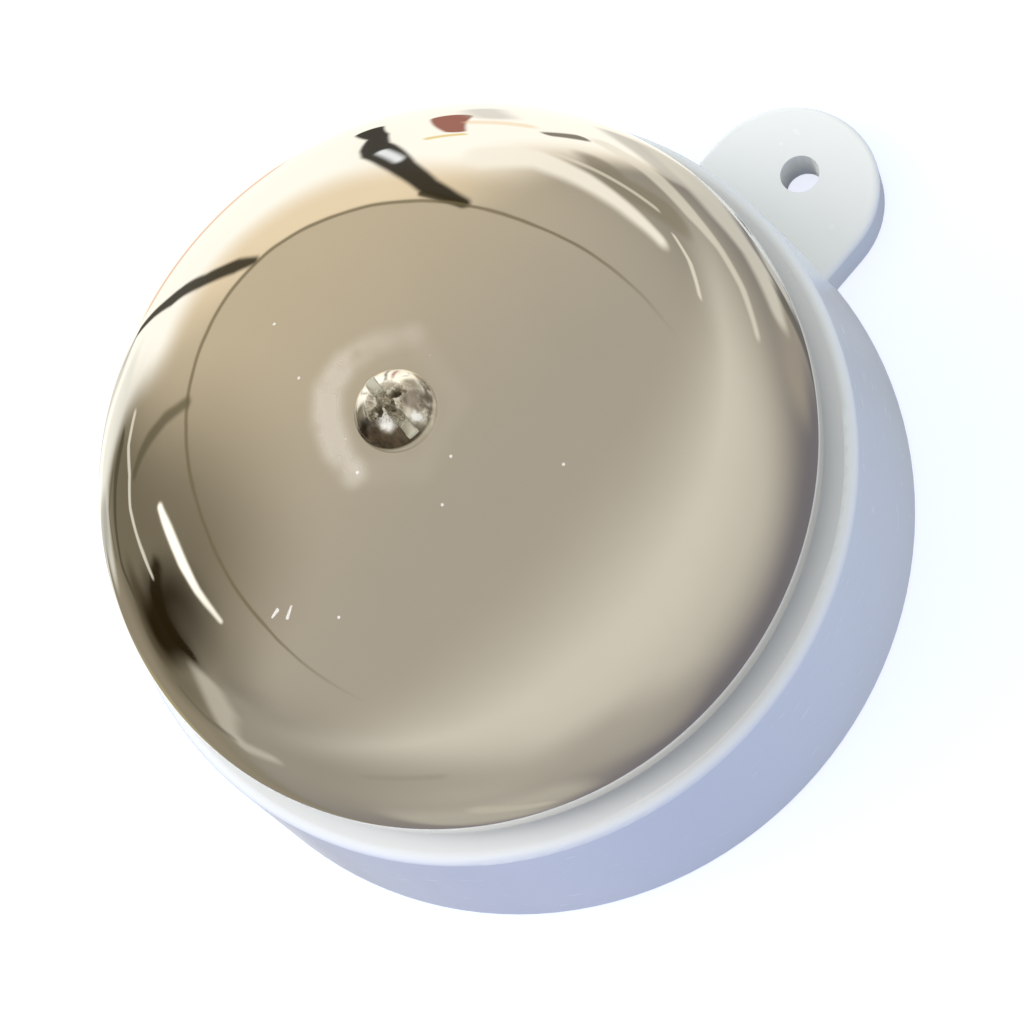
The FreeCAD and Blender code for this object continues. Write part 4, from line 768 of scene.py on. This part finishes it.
def make_gong_screw(material):
    """Round head, slot right across it and a chewed cross recess with raised burrs.

    The head is a height field over its disc: half an ellipse, z = seat + h sqrt(1 - r^2 / R^2),
    less the slot and the cross, which have short sloping walls, plus burrs round the recess. Its
    very top is cut flat, so that it stays inside the CAD's box."""
    around = SCREW_AROUND
    rings = np.linspace(np.pi / 2 / SCREW_RINGS, np.pi / 2, SCREW_RINGS)
    radius = SCREW_REACH * np.sin(rings)[:, None]
    angle = np.arange(around)[None, :] * (2 * np.pi / around)
    turn = np.radians(SCREW_TURN)
    x = radius * np.cos(angle)
    y = radius * np.sin(angle)
    along = x * np.cos(turn) + y * np.sin(turn)
    beside = -x * np.sin(turn) + y * np.cos(turn)
    top = GONG_SEAT + SCREW_EDGE + SCREW_RISE
    tall = SCREW_EDGE + SCREW_RISE
    height = GONG_SEAT + tall * np.sqrt(1 - (radius / (SCREW_REACH + 0.004)) ** 2) + 0 * angle
    wear = ripples(along, beside, 5, 0.8) * smooth_step(radius, 2.6, 1.0)
    fine = ripples(along, beside, 11, 0.34) * smooth_step(radius, 2.6, 1.7)
    slot_edge = np.abs(beside) + wear * 0.10
    cross_edge = np.abs(along + 0.15 * wear) + wear * 0.20 + fine * 0.08
    slot_floor = SCREW_SLOT_FLOOR + fine * 0.06
    cross_reach = smooth_step(np.abs(beside) + wear * 0.25, *CROSS_ENDS)
    slot = smooth_step(slot_edge, *SLOT_SIDES)
    cross = smooth_step(cross_edge, *CROSS_SIDES) * cross_reach
    middle = smooth_step(radius + wear * 0.25, *RECESS_SIDES)
    burr = np.exp(-((cross_edge - 0.62) / 0.13) ** 2) * cross_reach * (0.6 + 0.6 * wear)
    burr = burr + np.exp(-((slot_edge - 0.68) / 0.12) ** 2) * middle * (0.6 + 0.6 * fine)
    torn = smooth_step(radius, 2.3, 1.5)
    raised = burr * 0.26 + (fine * 0.13 + wear * 0.07) * torn
    height = height + raised * smooth_step(radius, 2.9, 2.2)
    height = height - slot * np.maximum(height - slot_floor, 0)
    deep = top - 1.75 + 0.25 * wear + 0.16 * fine
    height = height - cross * middle * np.maximum(height - deep, 0)
    height = height - cross * (1 - middle) * np.maximum(height - (top - 1.0 + 0.2 * wear), 0)
    height = np.minimum(height, top - SCREW_TOP_CUT)
    side = arc((SCREW_REACH - 0.10, GONG_SEAT + 0.08), 0.08, 270, 340, 4) + (0.02, 0)
    shank = np.array([[SCREW_SHANK, z] for z in (SCREW_END + 0.4, GONG_SEAT - 0.1, GONG_SEAT)])
    end = np.array([[SCREW_SHANK * 0.4, SCREW_END], [SCREW_SHANK - 0.4, SCREW_END]])
    below = np.concatenate([end, shank, side])
    outline_radius = np.concatenate([below[:, :1] + 0 * angle, radius[::-1] + 0 * angle])
    outline_height = np.concatenate([below[:, 1:] + 0 * angle, height[::-1]])
    points, faces = turned_solid(outline_radius, outline_height, around, closed=False)
    add_piece("driven_screw", points, faces, material, "plated_screw", "gong_screw")


def make_winding(material, name, middle_x):
    """Close turns of enamelled wire on a bobbin: the radius follows the wires' round backs,
    r = R - w/2 + sqrt(w^2/4 - d^2), with d the distance to the nearest turn of the helix."""
    around = COIL_AROUND
    start, end = COIL_ENDS
    steps = int((end - start) / COIL_WIRE * COIL_STEPS_PER_TURN)
    along = np.linspace(0, end - start, steps)[:, None]
    turn = np.arange(around)[None, :] / around
    phase = along / COIL_WIRE - turn
    away = (phase - np.floor(phase) - 0.5) * COIL_WIRE
    radius = COIL_RADIUS - COIL_WIRE / 2 + np.sqrt(np.maximum((COIL_WIRE / 2) ** 2 - away ** 2, 0))
    barrel = np.full((2, around), COIL_BARREL)
    inside = np.array([[0.0], [end - start]]) + 0 * turn
    # Turned about Z first, with the coil's length as its height, then laid along Y.
    radius = np.concatenate([barrel[:1], barrel[:1] + 1.4, radius, barrel[1:] + 1.4, barrel[1:]])
    height = np.concatenate([inside[:1], inside[:1], along + 0 * turn, inside[1:], inside[1:]])
    points, faces = turned_solid(radius, height, around, closed=True)
    laid = np.stack([points[:, 0] + middle_x, start + points[:, 2], COIL_HEIGHT - points[:, 1]], -1)
    add_piece(name + "_turns", laid, faces, material, "copper_wire", name)


def make_spring_strip(material):
    """The leaf that carries the armature, from its post to the armature, left free of the bell's
    body.
    """
    box = np.array(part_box("armature_spring")) * 1000
    (x0, y0, z0), (x1, y1, z1) = box
    steps = STRIP_STEPS
    x = np.linspace(x0, x1, steps)[:, None]
    corner = 0.04
    loop = [(y0, z0 + corner), (y0 + corner, z0), (y1 - corner, z0), (y1, z0 + corner),
            (y1, z1 - corner), (y1 - corner, z1), (y0 + corner, z1), (y0, z1 - corner)]
    sections = [np.linspace(a, b, 6)[:-1] for a, b in zip(loop, loop[1:] + loop[:1])]
    ring = np.concatenate(sections)
    around = len(ring)
    points = np.stack([x + 0 * ring[:, 0], ring[:, 0] + 0 * x, ring[:, 1] + 0 * x], -1)
    points = points.reshape(-1, 3)
    middles = [[end, (y0 + y1) / 2, (z0 + z1) / 2] for end in (x0, x1)]
    points = np.concatenate([points, middles])
    faces = grid_faces(steps, around).tolist() + end_faces(steps, around)
    strip = add_piece(
        "spring_strip", points, faces, material, "spring_steel", "armature_spring", body=None
    )
    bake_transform(strip)


def give(material, *names):
    """Puts a finish on these CAD nodes."""
    for name in names:
        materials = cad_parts[name].data.materials
        materials.clear()
        materials.append(material)


def dress():
    """Gives every part of the bell its finish."""
    make_gong(polished_gong())
    make_gong_screw(worn_screw())
    give(plated_screw(), "base_screws", "frame_screws", "core_screws", "spring_screws",
         "bracket_screw", "terminal_screws")
    give(moulded_housing(), "base_housing")
    zinc = brushed_metal("zinc_plate", (0.70, 0.72, 0.73), (0.52, 0.55, 0.58), 0.26, (1, 1, 1))
    give(zinc, "base_plate", "gong_pillar", "yoke", "spring_post", "spring_clamp")
    iron = brushed_metal("soft_iron", (0.50, 0.49, 0.48), (0.36, 0.355, 0.35), 0.34, (0.1, 2, 2))
    give(iron, "core_left", "core_right", "armature")
    spring = brushed_metal(
        "blued_spring", (0.50, 0.52, 0.56), (0.36, 0.38, 0.44), 0.18, (0.1, 3, 3)
    )
    give(spring, "hammer_rod")
    make_spring_strip(spring)
    brass = brushed_metal("turned_brass", (0.80, 0.60, 0.27), (0.66, 0.46, 0.19), 0.18, (2, 0.3, 2))
    give(brass, "armature_rivets", "hammer_head", "contact_bracket", "contact_screw", "contact_nut",
         "terminal_sleeves")
    bronze = brushed_metal("rolled_bronze", (0.76, 0.50, 0.28), (0.60, 0.37, 0.2), 0.2, (0.1, 3, 3))
    give(bronze, "contact_spring")
    give(brushed_metal("silver_contact", (0.88, 0.87, 0.84), (0.72, 0.71, 0.68), 0.12, (2, 2, 2)),
         "contact_button")
    copper = brushed_metal(
        "enamelled_copper", (0.72, 0.30, 0.12), (0.52, 0.18, 0.07), 0.2, (1, 4, 1)
    )
    make_winding(copper, "winding_left", -9.0)
    make_winding(copper, "winding_right", 8.4)
    give(moulded("bobbin_nylon", (0.10, 0.10, 0.105), (0.06, 0.06, 0.065), 0.35), "bobbin_left",
         "bobbin_right")
    give(moulded("brown_phenolic", (0.30, 0.15, 0.08), (0.19, 0.09, 0.05), 0.3), "contact_block")
    give(moulded("red_fibre", (0.45, 0.13, 0.09), (0.34, 0.09, 0.07), 0.6), "gong_washer")
    give(moulded("cream_block", (0.84, 0.81, 0.72), (0.76, 0.73, 0.64), 0.4), "terminal_block")
    give(moulded("red_insulation", (0.60, 0.055, 0.045), (0.48, 0.04, 0.035), 0.38), "coil_link",
         "coil_lead", "frame_lead", "contact_lead")
    give(moulded("black_bush", (0.05, 0.05, 0.05), (0.035, 0.035, 0.035), 0.5), "cable_bush")


dress()
lay_floor()
show_room()
place_camera()
bpy.context.scene.view_settings.view_transform = "Standard"
